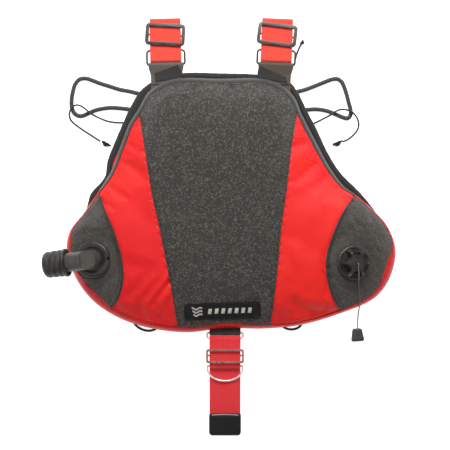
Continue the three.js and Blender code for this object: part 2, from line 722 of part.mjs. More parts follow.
const bungee = 7;
const lightCord = 3;
const loopCord = 4;
cord('bungee_left', [
  [-141, 213.5, 3.8], [-151, 216, 3.8], [-167, 219, 3.8], [-183, 224, 3.8], [-199, 229, 3.8],
  [-212, 234, 3.8],
  [-222, 237, 3.8], [-232, 235.5, 3.8], [-239, 228, 3.8], [-243, 215, 3.8], [-245, 202, 3.8],
  [-244.5, 190, 3.8], [-241, 181.5, 3.8], [-234, 176.5, 3.8], [-227, 176.5, 3.8], [-218, 180.5, 3.8],
  [-208, 185, 3.8], [-196, 188, 3.8], [-181, 189.5, 3.8], [-167, 188.8, 3.8], [-156, 187.5, 3.8],
], bungee, 22);
cord('light_cord_left', [
  [-163.5, 165.5, 2], [-175, 166, 2], [-187, 168, 2.2], [-197, 171.5, 3.8], [-206, 175.5, 7.6],
  [-214, 180.5, 10.3], [-221.5, 186.5, 10.4], [-228.5, 191.5, 9.2], [-236, 193.6, 9.2], [-242.5, 191, 10.3],
  [-246.5, 185, 10], [-248.5, 178, 6.6], [-246.5, 170, 3], [-239, 162.5, 2], [-228, 154.5, 2],
  [-215, 146, 2], [-205, 139.5, 2.6], [-198.4, 135.4, 3.6],
], lightCord, 34);
cord('bungee_right', [
  [121.5, 216, 3.8], [133, 219, 3.8], [149, 225, 3.8], [165, 231.5, 3.8], [176, 235.5, 3.8], [185, 236, 3.8],
  [192, 231, 3.8], [196.5, 221, 3.8], [200, 210, 3.8], [203, 198, 3.8], [206, 187, 3.8], [206, 178, 3.8],
  [201, 172.5, 3.8], [193.5, 174, 3.8], [183, 178.5, 3.8], [171, 183.5, 3.8], [158, 186.5, 3.8],
  [147, 187.2, 3.8], [138, 186.6, 3.8],
], bungee, 20);
cord('light_cord_right', [
  [149, 165.5, 2], [155.5, 168.5, 2.2], [162, 171.8, 3.8], [169, 175, 7.6], [176, 179.5, 10.3],
  [183.5, 184.2, 10.2], [191, 186.4, 9.2], [198.5, 185.8, 9.8], [205.5, 183.4, 10.4], [212, 178.6, 8.6],
  [217, 172, 4.4], [219.5, 163.5, 2.2], [217.5, 154.5, 2], [211, 146, 2], [202.5, 139, 2.4],
  [193.6, 134.6, 3.6],
], lightCord, 30);

function knot(name, point, turn, length, width, height, parent = vest) {
  const g = new THREE.SphereGeometry(1, 10, 6);
  g.scale(length / 2, width / 2, height / 2);
  g.rotateZ(THREE.MathUtils.degToRad(turn));
  const at = place([point])[0];
  g.translate(at.x, at.y, at.z);
  piece(name, g, cordBlack, parent);
}
knot('knot_left', [-190, 131], -30, 15, 8, 7.4);
knot('knot_right', [184.5, 131.5], 22, 16, 8, 7.4);
for (const name of ['knot_left', 'knot_right']) vest.getObjectByName(name).position.z = 4;

cord('hem_loop_left', [
  [-146, -152.5, 2.4], [-143, -160, 2.4], [-135, -167, 2.4], [-123, -171, 2.4], [-112, -169.5, 2.4],
  [-106, -165, 2.4], [-104.5, -161.5, 2.4],
], loopCord, 8);
cord('hem_loop_right', [
  [93, -158.6, 2.4], [97, -164.5, 2.4], [106, -168.5, 2.4], [117, -168, 2.4], [124.5, -163.5, 2.4],
  [127, -155, 2.4],
], loopCord, 8);

// ---- straps ----
const loopInner = wireWidth / 2 + barClearance;
const loopOuter = loopInner + webbingThickness;
const foldSides = 6;

// Extrudes a side profile drawn in (along the strap, up) across the webbing's width.
function acrossWebbing(shape, width) {
  const g = new THREE.ExtrudeGeometry(shape, { depth: width, bevelEnabled: false, curveSegments: foldSides });
  g.translate(0, 0, -width / 2);
  g.rotateY(Math.PI / 2);
  g.rotateX(Math.PI / 2);
  return g;
}

function stadium(path, from, to, radius) {
  path.moveTo(from, radius);
  path.absarc(from, 0, radius, Math.PI / 2, Math.PI * 1.5, false);
  path.lineTo(to, -radius);
  path.absarc(to, 0, radius, -Math.PI / 2, Math.PI / 2, false);
  path.closePath();
  return path;
}

// Webbing looped round two bars; a single run may go on past the second bar.
function strapLoop(fromBar, toBar, runEnd = null) {
  const outer = new THREE.Shape();
  outer.moveTo(fromBar, loopOuter);
  outer.absarc(fromBar, 0, loopOuter, Math.PI / 2, Math.PI * 1.5, false);
  let start = -Math.PI / 2;
  if (runEnd !== null) {
    outer.lineTo(runEnd, -loopOuter);
    outer.lineTo(runEnd, -loopInner);
    start = -Math.asin(loopInner / loopOuter);
  }
  outer.absarc(toBar, 0, loopOuter, start, Math.PI / 2, false);
  outer.closePath();
  outer.holes.push(stadium(new THREE.Path(), fromBar, toBar, loopInner));
  return acrossWebbing(outer, webbingWidth);
}

// Anchor webbing folded round a bar at 0, sewn down behind it and led in as one layer.
function anchorTab(tail, sewn) {
  const low = -loopOuter;
  const shape = new THREE.Shape();
  shape.moveTo(-tail, low);
  shape.lineTo(0, low);
  shape.absarc(0, 0, loopOuter, -Math.PI / 2, Math.PI / 2, false);
  shape.lineTo(-sewn, low + webbingThickness);
  shape.lineTo(-tail, low + webbingThickness);
  shape.closePath();
  const eye = new THREE.Path();
  eye.absarc(0, 0, loopInner, 0, Math.PI * 2, false);
  shape.holes.push(eye);
  return acrossWebbing(shape, webbingWidth);
}

function roundedRectangle(path, width, low, high, radius) {
  const half = width / 2;
  path.moveTo(-half + radius, low);
  path.lineTo(half - radius, low);
  path.absarc(half - radius, low + radius, radius, -Math.PI / 2, 0, false);
  path.lineTo(half, high - radius);
  path.absarc(half - radius, high - radius, radius, 0, Math.PI / 2, false);
  path.lineTo(-half + radius, high);
  path.absarc(-half + radius, high - radius, radius, Math.PI / 2, Math.PI, false);
  path.lineTo(-half, low + radius);
  path.absarc(-half + radius, low + radius, radius, Math.PI, Math.PI * 1.5, false);
  path.closePath();
  return path;
}

// Flat wire frame with an octagonal section, lying about z = 0.
function wireFrame(shape, depth = wireWidth) {
  const g = new THREE.ExtrudeGeometry(shape, {
    depth: depth - 2 * wireBevel,
    bevelThickness: wireBevel,
    bevelSize: wireBevel,
    bevelOffset: -wireBevel,
    bevelSegments: 1,
    curveSegments: 3,
  });
  g.translate(0, 0, wireBevel - depth / 2);
  return g;
}

function ringFrame(width, pitch, corner) {
  const half = wireWidth / 2;
  const shape = roundedRectangle(new THREE.Shape(), width + wireWidth, -half, pitch + half, corner);
  const inner = Math.max(0.8, corner - wireWidth);
  shape.holes.push(roundedRectangle(new THREE.Path(), width - wireWidth, half, pitch - half, inner));
  return wireFrame(shape);
}

// Three-bar slide: the outer bars pass over the webbing, the middle bar inside its loop.
function threeBarSlide(width, height, bar, corner) {
  const shape = roundedRectangle(new THREE.Shape(), width, -height / 2, height / 2, corner);
  const hole = roundedRectangle(new THREE.Path(), width - 2 * bar, bar - height / 2, height / 2 - bar, 2);
  shape.holes.push(hole);
  const frameHeight = loopOuter + barClearance + wireWidth / 2;
  const frame = wireFrame(shape);
  frame.translate(0, 0, frameHeight);
  const postX = width / 2 - bar / 2;
  const postHeight = frameHeight + wireWidth / 2;
  let slide = solid(frame).add(solid(box(width - bar, wireWidth - 0.4, wireWidth - 0.4)));
  for (const side of [-1, 1]) {
    const post = box(bar - 1.2, wireWidth + 0.4, postHeight, side * postX, 0, (postHeight - wireWidth) / 2);
    slide = slide.add(solid(post));
  }
  return fromSolid(slide);
}

const barHeight = webbingLow + loopOuter;

function hingeGroup(x, y, turn, slope) {
  const outer = new THREE.Group();
  outer.position.set(x, y, barHeight);
  outer.rotation.z = THREE.MathUtils.degToRad(turn);
  vest.add(outer);
  const inner = new THREE.Group();
  inner.rotation.x = -slope;
  outer.add(inner);
  return { outer, inner };
}

// The free end of a strap droops until its underside is just above the surface.
const restGap = 0.3;
function droop(length) {
  return Math.asin((barHeight - loopOuter - restGap) / length);
}

const shoulders = [
  { side: 'left', x: shoulderX[0], turn: 1.5, slideTurn: -4.5 },
  { side: 'right', x: shoulderX[1], turn: -2.4, slideTurn: -4.6 },
];
for (const { side, x, turn, slideTurn } of shoulders) {
  const { outer, inner } = hingeGroup(x, shoulderBarY, turn, droop(shoulderStrapLength));
  piece(`shoulder_tab_${side}`, anchorTab(shoulderTabTail, 14), blackFabric, outer);
  piece(`shoulder_ring_${side}`, ringFrame(shoulderRingWidth, shoulderRingPitch, 6), blackSteel, inner);
  const topBar = shoulderStrapLength - loopOuter;
  const lowBar = 2 * loopOuter + 3 * touchGap;
  piece(`shoulder_strap_${side}`, strapLoop(lowBar, topBar), redWebbing, inner);
  const slide = piece(`shoulder_slide_${side}`, threeBarSlide(shoulderSlideWidth, shoulderSlideHeight,
    shoulderSlideBar, 6), blackPlastic, inner);
  slide.position.y = shoulderRingPitch + wireWidth / 2 + 5 + shoulderSlideHeight / 2;
  slide.rotation.z = THREE.MathUtils.degToRad(slideTurn);
}
cord('ring_cord', [
  [117, 269.5, 6.6], [118, 273, 5], [119.6, 278, 3], [121.6, 283, 2.1], [124, 288.4, 2], [126, 291.6, 2.3],
], lightCord, 8);
knot('ring_knot', [128, 295.2], 55, 7.4, 5, 5);
vest.getObjectByName('ring_knot').position.z = 2.9;

const crotch = hingeGroup(crotchX, crotchBarY, 180, droop(crotchStrapLength));
piece('crotch_tab', anchorTab(crotchTabTail, 6), blackFabric, crotch.outer);
piece('crotch_ring', ringFrame(crotchRingWidth, crotchRingPitch, 4.5), steel, crotch.inner);
piece('crotch_strap', strapLoop(crotchRingPitch, crotchLoopBar, crotchStrapLength), redWebbing, crotch.inner);
const crotchSlide = piece('crotch_slide', threeBarSlide(crotchSlideWidth, crotchSlideHeight, wireWidth, 3),
  steel, crotch.inner);
crotchSlide.position.y = crotchLoopBar - wireWidth / 2 - 4 - crotchSlideHeight / 2;

function dRing(width, depth) {
  const half = wireWidth / 2;
  const straight = 4;
  const outline = (path, side, low, reach) => {
    path.moveTo(-side, low);
    path.lineTo(side, low);
    path.lineTo(side, straight);
    path.absellipse(0, straight, side, reach - straight, 0, Math.PI, false);
    path.closePath();
    return path;
  };
  const shape = outline(new THREE.Shape(), width / 2 + half, -half, depth + half);
  shape.holes.push(outline(new THREE.Path(), width / 2 - half, half, depth - half));
  return wireFrame(shape);
}
const dRingMesh = piece('crotch_d_ring', dRing(crotchRingWidth - 1, dRingDepth), steel, crotch.inner);
dRingMesh.position.y = crotchLoopBar;

const sleeveProfile = stadium(new THREE.Shape(), sleeveHeight / 2, sleeveLength - sleeveHeight / 2,
  sleeveHeight / 2);
sleeveProfile.holes.push(stadium(new THREE.Path(), sleeveHeight / 2, sleeveLength - sleeveHeight / 2,
  sleeveHeight / 2 - sleeveWall));
const sleeve = acrossWebbing(sleeveProfile, webbingWidth + 1.4);
sleeve.rotateZ(Math.PI);
const sleeveY = crotchBarY - crotchStrapLength - touchGap;
sleeve.translate(crotchX, sleeveY, sleeveHeight / 2 + touchGap);
piece('end_sleeve', sleeve, blackRubber);

export default vest;
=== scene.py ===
import json
import math
import bpy
import numpy as np
from mathutils import Matrix, Vector
from mathutils.bvhtree import BVHTree


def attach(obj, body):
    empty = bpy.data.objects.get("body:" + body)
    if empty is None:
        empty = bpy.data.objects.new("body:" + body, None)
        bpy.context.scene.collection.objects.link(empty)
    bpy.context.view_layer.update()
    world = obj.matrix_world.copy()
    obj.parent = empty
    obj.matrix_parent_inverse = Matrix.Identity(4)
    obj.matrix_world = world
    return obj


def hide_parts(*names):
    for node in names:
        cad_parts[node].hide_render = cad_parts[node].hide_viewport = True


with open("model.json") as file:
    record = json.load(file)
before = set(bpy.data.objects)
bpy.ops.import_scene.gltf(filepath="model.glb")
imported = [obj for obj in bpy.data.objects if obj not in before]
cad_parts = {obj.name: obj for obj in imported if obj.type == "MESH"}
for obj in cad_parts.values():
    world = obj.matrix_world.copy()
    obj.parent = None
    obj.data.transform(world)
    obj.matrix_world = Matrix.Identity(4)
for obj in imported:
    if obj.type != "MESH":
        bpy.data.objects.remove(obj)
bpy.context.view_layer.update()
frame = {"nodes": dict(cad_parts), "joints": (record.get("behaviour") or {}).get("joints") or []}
mm = 0.001  # shapes are worked out in millimetres, and meshes are in metres
joints = {joint["name"]: joint for joint in frame["joints"]}
bpy.ops.object.select_all(action="DESELECT")

# camera, looking straight down with the head end up
cameraView = {"x": 3 * mm, "height": 2.3, "lens": 113.6}
camera = bpy.data.objects.new("camera", bpy.data.cameras.new("camera"))
camera.location = (cameraView["x"], 0, cameraView["height"])
camera.data.lens = cameraView["lens"]
bpy.context.scene.collection.objects.link(camera)
bpy.context.scene.camera = camera


def linear(colour):  # sRGB hex to linear
    parts = [int(colour[i:i + 2], 16) / 255 for i in (1, 3, 5)]
    return [c / 12.92 if c <= 0.04045 else ((c + 0.055) / 1.055) ** 2.4 for c in parts] + [1]


def addNode(tree, kind, inputs=None, **settings):  # a socket given as an input is linked
    node = tree.nodes.new("ShaderNode" + kind)
    for key, value in settings.items():
        setattr(node, key, value)
    for key, value in (inputs or {}).items():
        if isinstance(value, bpy.types.NodeSocket):
            tree.links.new(value, node.inputs[key])
        else:
            node.inputs[key].default_value = value
    return node


def newMaterial(name, values):  # values are the shader's own sockets
    material = bpy.data.materials.new(name)
    material.use_nodes = True
    tree = material.node_tree
    tree.nodes.clear()
    shader = addNode(tree, "BsdfPrincipled", values)
    addNode(tree, "OutputMaterial", {0: shader.outputs[0]})
    return material, tree, shader


# Warp and weft that pass over and under each other, pitch in metres.
def weave(tree, place, pitch):
    size = math.pi / 10 / pitch
    warp = addNode(tree, "TexWave", {"Vector": place, "Scale": size}, bands_direction="X").outputs[1]
    weft = addNode(tree, "TexWave", {"Vector": place, "Scale": size}, bands_direction="Y").outputs[1]
    over = addNode(tree, "TexChecker", {"Vector": place, "Scale": 1 / pitch}).outputs[1]
    return addNode(tree, "Mix", {0: over, 2: warp, 3: weft}).outputs[0]


# Coarse ballistic nylon: dull basket weave with pale flecks where threads catch the light.
def ballisticNylon(name, dark, light, fleck, pitch, contrast):
    material, tree, shader = newMaterial(name, {"Roughness": 0.82, "Sheen Weight": 0.25, "Sheen Roughness": 0.5})
    place = addNode(tree, "TexCoord").outputs["Object"]
    threads = weave(tree, place, pitch)
    cells = addNode(tree, "TexVoronoi", {"Vector": place, "Scale": 0.62 / pitch}).outputs["Color"]
    single = addNode(tree, "SeparateColor", {0: cells}).outputs[0]
    grain = addNode(tree, "TexNoise", {"Vector": place, "Scale": 0.5 / pitch, "Detail": 3.0}).outputs[0]
    cloudy = addNode(tree, "TexNoise", {"Vector": place, "Scale": 14.0, "Detail": 2.0}).outputs[0]
    mixed = addNode(tree, "Math", {0: single, 1: grain}, operation="ADD").outputs[0]
    speckle = addNode(tree, "MapRange", {0: mixed, 1: 0.75 - contrast, 2: 0.75 + contrast}).outputs[0]
    worn = addNode(tree, "MapRange", {0: cloudy, 1: 0.35, 2: 0.65, 4: 0.22}).outputs[0]
    caught = addNode(tree, "MapRange", {0: mixed, 1: 1.18, 2: 1.4, 4: 0.75}).outputs[0]
    base = addNode(tree, "Mix", {0: speckle, 6: linear(dark), 7: linear(light)}, data_type="RGBA").outputs[2]
    tint = addNode(tree, "Mix", {0: worn, 6: base, 7: linear(dark)}, data_type="RGBA").outputs[2]
    bright = addNode(tree, "Mix", {0: caught, 6: tint, 7: linear(fleck)}, data_type="RGBA").outputs[2]
    height = addNode(tree, "Math", {0: threads, 1: grain}, operation="ADD").outputs[0]
    bump = addNode(tree, "Bump", {"Height": height, "Distance": 0.35 * mm})
    tree.links.new(bright, shader.inputs["Base Color"])
    tree.links.new(bump.outputs[0], shader.inputs["Normal"])
    return material


# Urethane-coated nylon: smooth and softly glossy, the weave only just shows through the coat.
def coatedNylon(name, dark, light, roughness=0.5, pitch=1.1 * mm):
    material, tree, shader = newMaterial(name, {"Roughness": roughness, "Specular IOR Level": 0.35})
    place = addNode(tree, "TexCoord").outputs["Object"]
    threads = weave(tree, place, pitch)
    cloudy = addNode(tree, "TexNoise", {"Vector": place, "Scale": 9.0, "Detail": 3.0}).outputs[0]
    soft = addNode(tree, "TexNoise", {"Vector": place, "Scale": 34.0, "Detail": 2.0}).outputs[0]
    patchy = addNode(tree, "MapRange", {0: cloudy, 1: 0.35, 2: 0.65}).outputs[0]
    shade = addNode(tree, "Mix", {0: patchy, 6: linear(dark), 7: linear(light)}, data_type="RGBA").outputs[2]
    creases = addNode(tree, "Math", {0: soft, 1: 9.0}, operation="MULTIPLY").outputs[0]
    height = addNode(tree, "Math", {0: threads, 1: creases}, operation="ADD").outputs[0]
    bump = addNode(tree, "Bump", {"Height": height, "Distance": 0.12 * mm})
    tree.links.new(shade, shader.inputs["Base Color"])
    tree.links.new(bump.outputs[0], shader.inputs["Normal"])
    return material


# Woven tape: cords run along it and fine ribs across, read from the tape's own UV in metres.
def wovenTape(name, dark, light, ribs=1.7 * mm, cross=1.1 * mm, roughness=0.62, depth=0.3 * mm):
    material, tree, shader = newMaterial(name, {"Roughness": roughness, "Sheen Weight": 0.3})
    place = addNode(tree, "TexCoord").outputs["UV"]
    size = math.pi / 10
    along = addNode(tree, "TexWave", {"Vector": place, "Scale": size / ribs}, bands_direction="X").outputs[1]
    across = addNode(tree, "TexWave", {"Vector": place, "Scale": size / cross}, bands_direction="Y").outputs[1]
    grain = addNode(tree, "TexNoise", {"Vector": place, "Scale": 120.0, "Detail": 3.0}).outputs[0]
    both = addNode(tree, "Math", {0: along, 1: across}, operation="ADD").outputs[0]
    mixed = addNode(tree, "Math", {0: both, 1: grain}, operation="ADD").outputs[0]
    raised = addNode(tree, "MapRange", {0: mixed, 1: 0.5, 2: 2.1}).outputs[0]
    shade = addNode(tree, "Mix", {0: raised, 6: linear(dark), 7: linear(light)}, data_type="RGBA").outputs[2]
    bump = addNode(tree, "Bump", {"Height": both, "Distance": depth})
    tree.links.new(shade, shader.inputs["Base Color"])
    tree.links.new(bump.outputs[0], shader.inputs["Normal"])
    return material


# Injection-moulded nylon: spark-eroded grain, paler where hands have rubbed it.
def mouldedPlastic(name, dark, light, roughness=0.38):
    material, tree, shader = newMaterial(name, {})
    place = addNode(tree, "TexCoord").outputs["Object"]
    grain = addNode(tree, "TexNoise", {"Vector": place, "Scale": 900.0, "Detail": 2.0}).outputs[0]
    rubbed = addNode(tree, "TexNoise", {"Vector": place, "Scale": 70.0, "Detail": 5.0}).outputs[0]
    pale = addNode(tree, "MapRange", {0: rubbed, 1: 0.38, 2: 0.68}).outputs[0]
    shade = addNode(tree, "Mix", {0: pale, 6: linear(dark), 7: linear(light)}, data_type="RGBA").outputs[2]
    dull = {0: rubbed, 1: 0.3, 2: 0.7, 3: roughness - 0.06, 4: roughness + 0.12}
    bump = addNode(tree, "Bump", {"Height": grain, "Distance": 0.05 * mm})
    tree.links.new(shade, shader.inputs["Base Color"])
    tree.links.new(addNode(tree, "MapRange", dull).outputs[0], shader.inputs["Roughness"])
    tree.links.new(bump.outputs[0], shader.inputs["Normal"])
    return material


# Moulded rubber: matt, a little dusty.
def mouldedRubber(name, dark, light, roughness=0.62):
    material, tree, shader = newMaterial(name, {"Roughness": roughness, "Specular IOR Level": 0.4})
    place = addNode(tree, "TexCoord").outputs["Object"]
    dust = addNode(tree, "TexNoise", {"Vector": place, "Scale": 55.0, "Detail": 6.0, "Roughness": 0.6}).outputs[0]
    grain = addNode(tree, "TexNoise", {"Vector": place, "Scale": 700.0, "Detail": 2.0}).outputs[0]
    settled = addNode(tree, "MapRange", {0: dust, 1: 0.35, 2: 0.72}).outputs[0]
    shade = addNode(tree, "Mix", {0: settled, 6: linear(dark), 7: linear(light)}, data_type="RGBA").outputs[2]
    bump = addNode(tree, "Bump", {"Height": grain, "Distance": 0.06 * mm})
    tree.links.new(shade, shader.inputs["Base Color"])
    tree.links.new(bump.outputs[0], shader.inputs["Normal"])
    return material


# Drawn stainless wire: bright, with fine scuffs.
def drawnWire(name, dark, light, roughness, metallic):
    material, tree, shader = newMaterial(name, {"Metallic": metallic})
    place = addNode(tree, "TexCoord").outputs["Object"]
    scuffs = addNode(tree, "TexNoise", {"Vector": place, "Scale": 260.0, "Detail": 5.0}).outputs[0]
    pale = addNode(tree, "MapRange", {0: scuffs, 1: 0.3, 2: 0.7}).outputs[0]
    shade = addNode(tree, "Mix", {0: pale, 6: linear(dark), 7: linear(light)}, data_type="RGBA").outputs[2]
    dull = {0: scuffs, 1: 0.3, 2: 0.75, 3: roughness * 0.7, 4: roughness * 1.5}
    bump = addNode(tree, "Bump", {"Height": scuffs, "Distance": 0.02 * mm})
    tree.links.new(shade, shader.inputs["Base Color"])
    tree.links.new(addNode(tree, "MapRange", dull).outputs[0], shader.inputs["Roughness"])
    tree.links.new(bump.outputs[0], shader.inputs["Normal"])
    return material


# Braided sheath: two sets of strands wound in opposite directions, read from the cord's UV.
def braidedSheath(name, dark, light, around, along):
    material, tree, shader = newMaterial(name, {"Roughness": 0.7, "Sheen Weight": 0.2})
    place = addNode(tree, "TexCoord").outputs["UV"]
    strands = []
    for lean in (-1, 1):
        wound = addNode(tree, "Mapping", {"Vector": place, "Scale": (around, lean * along, 1)}).outputs[0]
        bands = {"Vector": wound, "Scale": math.pi / 10}
        strands.append(addNode(tree, "TexWave", bands, bands_direction="DIAGONAL").outputs[1])
    top = addNode(tree, "Math", {0: strands[0], 1: strands[1]}, operation="MAXIMUM").outputs[0]
    raised = addNode(tree, "MapRange", {0: top, 1: 0.3, 2: 1.0}).outputs[0]
    shade = addNode(tree, "Mix", {0: raised, 6: linear(dark), 7: linear(light)}, data_type="RGBA").outputs[2]
    bump = addNode(tree, "Bump", {"Height": top, "Distance": 0.25 * mm})
    tree.links.new(shade, shader.inputs["Base Color"])
    tree.links.new(bump.outputs[0], shader.inputs["Normal"])
    return material


print("materials")
# the weave is drawn at 1.15 mm, a little coarser than the real 1 mm, so that its speckle shows from this far away
centreCloth = ballisticNylon("ballistic_nylon_grey", "#211F1B", "#3B3731", "#69635B", 1.15 * mm, 0.5)
patchCloth = ballisticNylon("fine_nylon_grey", "#38332E", "#49433C", "#5D564F", 1.1 * mm, 0.6)
redCloth = coatedNylon("coated_nylon_red", "#E8121A", "#F42219", 0.42)
# The hem is the same red nylon painted a deeper red: painted shade on the lower edge, away from the top light.
hemPaintedShadeRed = coatedNylon("coated_nylon_hem_painted_shade", "#CC0A12", "#DE1517", 0.45, 0.9 * mm)
shellCloth = coatedNylon("coated_nylon_black", "#1B1A18", "#262421", 0.6)
padCloth = coatedNylon("pad_cover_black", "#24221F", "#34312D", 0.75, 1.6 * mm)
blackTape = wovenTape("binding_tape_black", "#131210", "#292622", 2.2 * mm, 1.6 * mm, 0.72, 0.22 * mm)
blackWebbing = wovenTape("webbing_black", "#171613", "#35322D")
# The shoulder webbing is red painted a paler coral, a painted highlight where the top light falls. The hidden spine
# and yoke tapes share it.
webbingPaintedLitCoral = wovenTape("webbing_coral_painted_light", "#E82A1E", "#FB4A35", 1.9 * mm, 1.3 * mm)
deepWebbing = wovenTape("webbing_red", "#F01A26", "#FF3038", 1.9 * mm, 1.3 * mm)
# Both shoulder tabs are the same dark webbing. The left copy is painted grey and the right copy brown: painted light
# for how the light falls on each.
tabPaintedLitGrey = wovenTape("tab_painted_lit_grey", "#433E38", "#5F5850", 1.6 * mm, 1.6 * mm, 0.7, 0.15 * mm)
tabPaintedLitBrown = wovenTape("tab_painted_lit_brown", "#3C342E", "#57493F", 1.6 * mm, 1.6 * mm, 0.7, 0.15 * mm)
darkPlastic = mouldedPlastic("moulded_nylon_black", "#24221F", "#3A3732", 0.34)
elbowPlastic = mouldedPlastic("moulded_elbow_grey", "#3F3C37", "#504C46", 0.42)
capPlastic = mouldedPlastic("moulded_cap_black", "#24221F", "#3B3833", 0.3)
slidePlastic = mouldedPlastic("moulded_slide_brown", "#221D1B", "#39322F", 0.36)
cuffRubber = mouldedRubber("moulded_cuff_rubber", "#24231F", "#403E39", 0.5)
blackRubber = mouldedRubber("moulded_black_rubber", "#050505", "#0D0C0B")
toggleRubber = mouldedRubber("moulded_toggle_rubber", "#33312D", "#504D47", 0.5)
# Pale grey for the label's printed marks, also used for the painted highlight on the end sleeve.
printAndHighlightGrey = mouldedRubber("label_print_and_painted_highlight_grey", "#B5B0A9", "#D2CDC6", 0.55)
brightWire = drawnWire("stainless_wire", "#E4E2DF", "#FFFFFF", 0.2, 0.45)
# The crotch slide's steel is tinted red-brown: a painted reflection of the red webbing that runs through it.
slideSteelPaintedReflection = drawnWire("stainless_slide_painted_red_reflection", "#9C7466", "#C49C8C", 0.3, 0.55)
blackWire = drawnWire("coated_wire_black", "#1C1A18", "#33302B", 0.42, 0.3)
bungeeSheath = braidedSheath("bungee_sheath", "#1B1C1C", "#3F4140", 8, 2.2)
cordSheath = braidedSheath("cord_sheath", "#0E0E11", "#2A2A2E", 6, 1.2)
pullSheath = braidedSheath("pull_cord_sheath", "#3B3A37", "#6C6A66", 6, 1.2)
threadBlack = braidedSheath("thread_black", "#0D0C0B", "#24211E", 3, 2)
threadRed = braidedSheath("thread_red", "#B80D15", "#E02422", 3, 2)


def meshFrom(name, points, faces, material, uv=None):
    data = bpy.data.meshes.new(name)
    data.from_pydata((np.asarray(points, float) * mm).tolist(), [], [list(map(int, f)) for f in faces])
    if uv is not None:
        layer = data.uv_layers.new(name="UVMap")
        corners = np.zeros(len(data.loops), np.int32)
        data.loops.foreach_get("vertex_index", corners)
        layer.data.foreach_set("uv", np.asarray(uv, np.float32)[corners].ravel())
    data.materials.append(material)
    data.shade_smooth()
    piece = bpy.data.objects.new(name, data)
    bpy.context.scene.collection.objects.link(piece)
    return piece


def pick(piece):  # makes a piece the only selected one
    bpy.ops.object.select_all(action="DESELECT")
    piece.select_set(True)
    bpy.context.view_layer.objects.active = piece


def applied(piece, kind, **settings):
    modifier = piece.modifiers.new(kind, kind)
    for key, value in settings.items():
        setattr(modifier, key, value)
    pick(piece)
    bpy.ops.object.modifier_apply(modifier=modifier.name)
    return piece


# Points on the smooth curve through given points.
def throughPoints(points, closed=False, perSpan=14):
    p = np.asarray(points, float)
    count = len(p)
    line = []
    for i in range(count if closed else count - 1):
        p1, p2 = p[i], p[(i + 1) % count]
        p0 = p[i - 1] if closed or i > 0 else 2 * p1 - p2
        p3 = p[(i + 2) % count] if closed or i + 2 < count else 2 * p2 - p1
        d0, d1, d2 = (max(np.linalg.norm(b - a), 1e-6) ** 0.5 for a, b in ((p0, p1), (p1, p2), (p2, p3)))
        t1 = ((p1 - p0) / d0 - (p2 - p0) / (d0 + d1) + (p2 - p1) / d1) * d1
        t2 = ((p2 - p1) / d1 - (p3 - p1) / (d1 + d2) + (p3 - p2) / d2) * d1
        square, cube = -3 * p1 + 3 * p2 - 2 * t1 - t2, 2 * p1 - 2 * p2 + t1 + t2
        for k in range(perSpan):
            t = k / perSpan
            line.append(p1 + t1 * t + square * t * t + cube * t ** 3)
    if not closed:
        line.append(p[-1])
    return np.array(line)


def lengthAlong(line):
    return np.concatenate([[0], np.cumsum(np.linalg.norm(np.diff(line, axis=0), axis=1))])


def evenly(line, count, closed=False):
    if closed:
        line = np.vstack([line, line[:1]])
    far = lengthAlong(line)
    at = np.linspace(0, far[-1], count, endpoint=not closed)
    return np.stack([np.interp(at, far, line[:, k]) for k in range(line.shape[1])], 1)


# Carries a cross-section along a line; closed joins its ends, and upright keeps the section from twisting.
def tubeAlong(name, line, section, material, closed=False, upright=None):
    line = np.asarray(line, float)
    section = np.asarray(section, float)
    count, sides = len(line), len(section)
    ahead = np.roll(line, -1, 0) - np.roll(line, 1, 0) if closed else np.gradient(line, axis=0)
    ahead /= np.linalg.norm(ahead, axis=1)[:, None]
    side = np.cross(ahead[0], [0, 0, 1.0])
    side = side / np.linalg.norm(side) if np.linalg.norm(side) > 1e-3 else np.array([1.0, 0, 0])
    points = []
    for i in range(count):
        if upright is not None:
            side = np.cross(ahead[i], upright)
        side = side - ahead[i] * (side @ ahead[i])
        side /= np.linalg.norm(side)
        up = np.cross(side, ahead[i])
        points.append(line[i] + section[:, :1] * side + section[:, 1:2] * up)
    points = np.vstack(points)
    far = lengthAlong(line)
    width = np.concatenate([[0], np.cumsum(np.linalg.norm(np.diff(section, axis=0), axis=1))])
    uv = np.stack([np.tile(width, count), np.repeat(far, sides)], 1) * mm
    faces = []
    for i in range(count if closed else count - 1):
        a, b = i * sides, (i + 1) % count * sides
        faces += [(a + j, a + (j + 1) % sides, b + (j + 1) % sides, b + j) for j in range(sides)]
    if not closed:
        faces += [list(range(sides))[::-1], [(count - 1) * sides + j for j in range(sides)]]
    return meshFrom(name, points, faces, material, uv)


def circleSection(radius, sides=10):
    return [(radius * math.cos(2 * math.pi * j / sides), radius * math.sin(2 * math.pi * j / sides))
            for j in range(sides)]


def outward(piece):
    pick(piece)
    bpy.ops.object.mode_set(mode="EDIT")
    bpy.ops.mesh.select_all(action="SELECT")
    bpy.ops.mesh.normals_make_consistent(inside=False)
    bpy.ops.object.mode_set(mode="OBJECT")
    return piece


def roundCord(name, route, diameter, material, body, sides=12):
    line = throughPoints(route)
    line = evenly(line, max(24, int(lengthAlong(line)[-1] / (0.3 * diameter))))
    piece = outward(tubeAlong(name, line, circleSection(diameter / 2, sides), material))
    uv = piece.data.uv_layers[0].data
    values = np.zeros(len(uv) * 2, np.float32)
    uv.foreach_get("uv", values)
    values = values.reshape(-1, 2) / (diameter * mm) * (1 / math.pi, 1)  # once around, and diameters along
    uv.foreach_set("uv", values.ravel())
    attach(piece, body)
    return piece, line


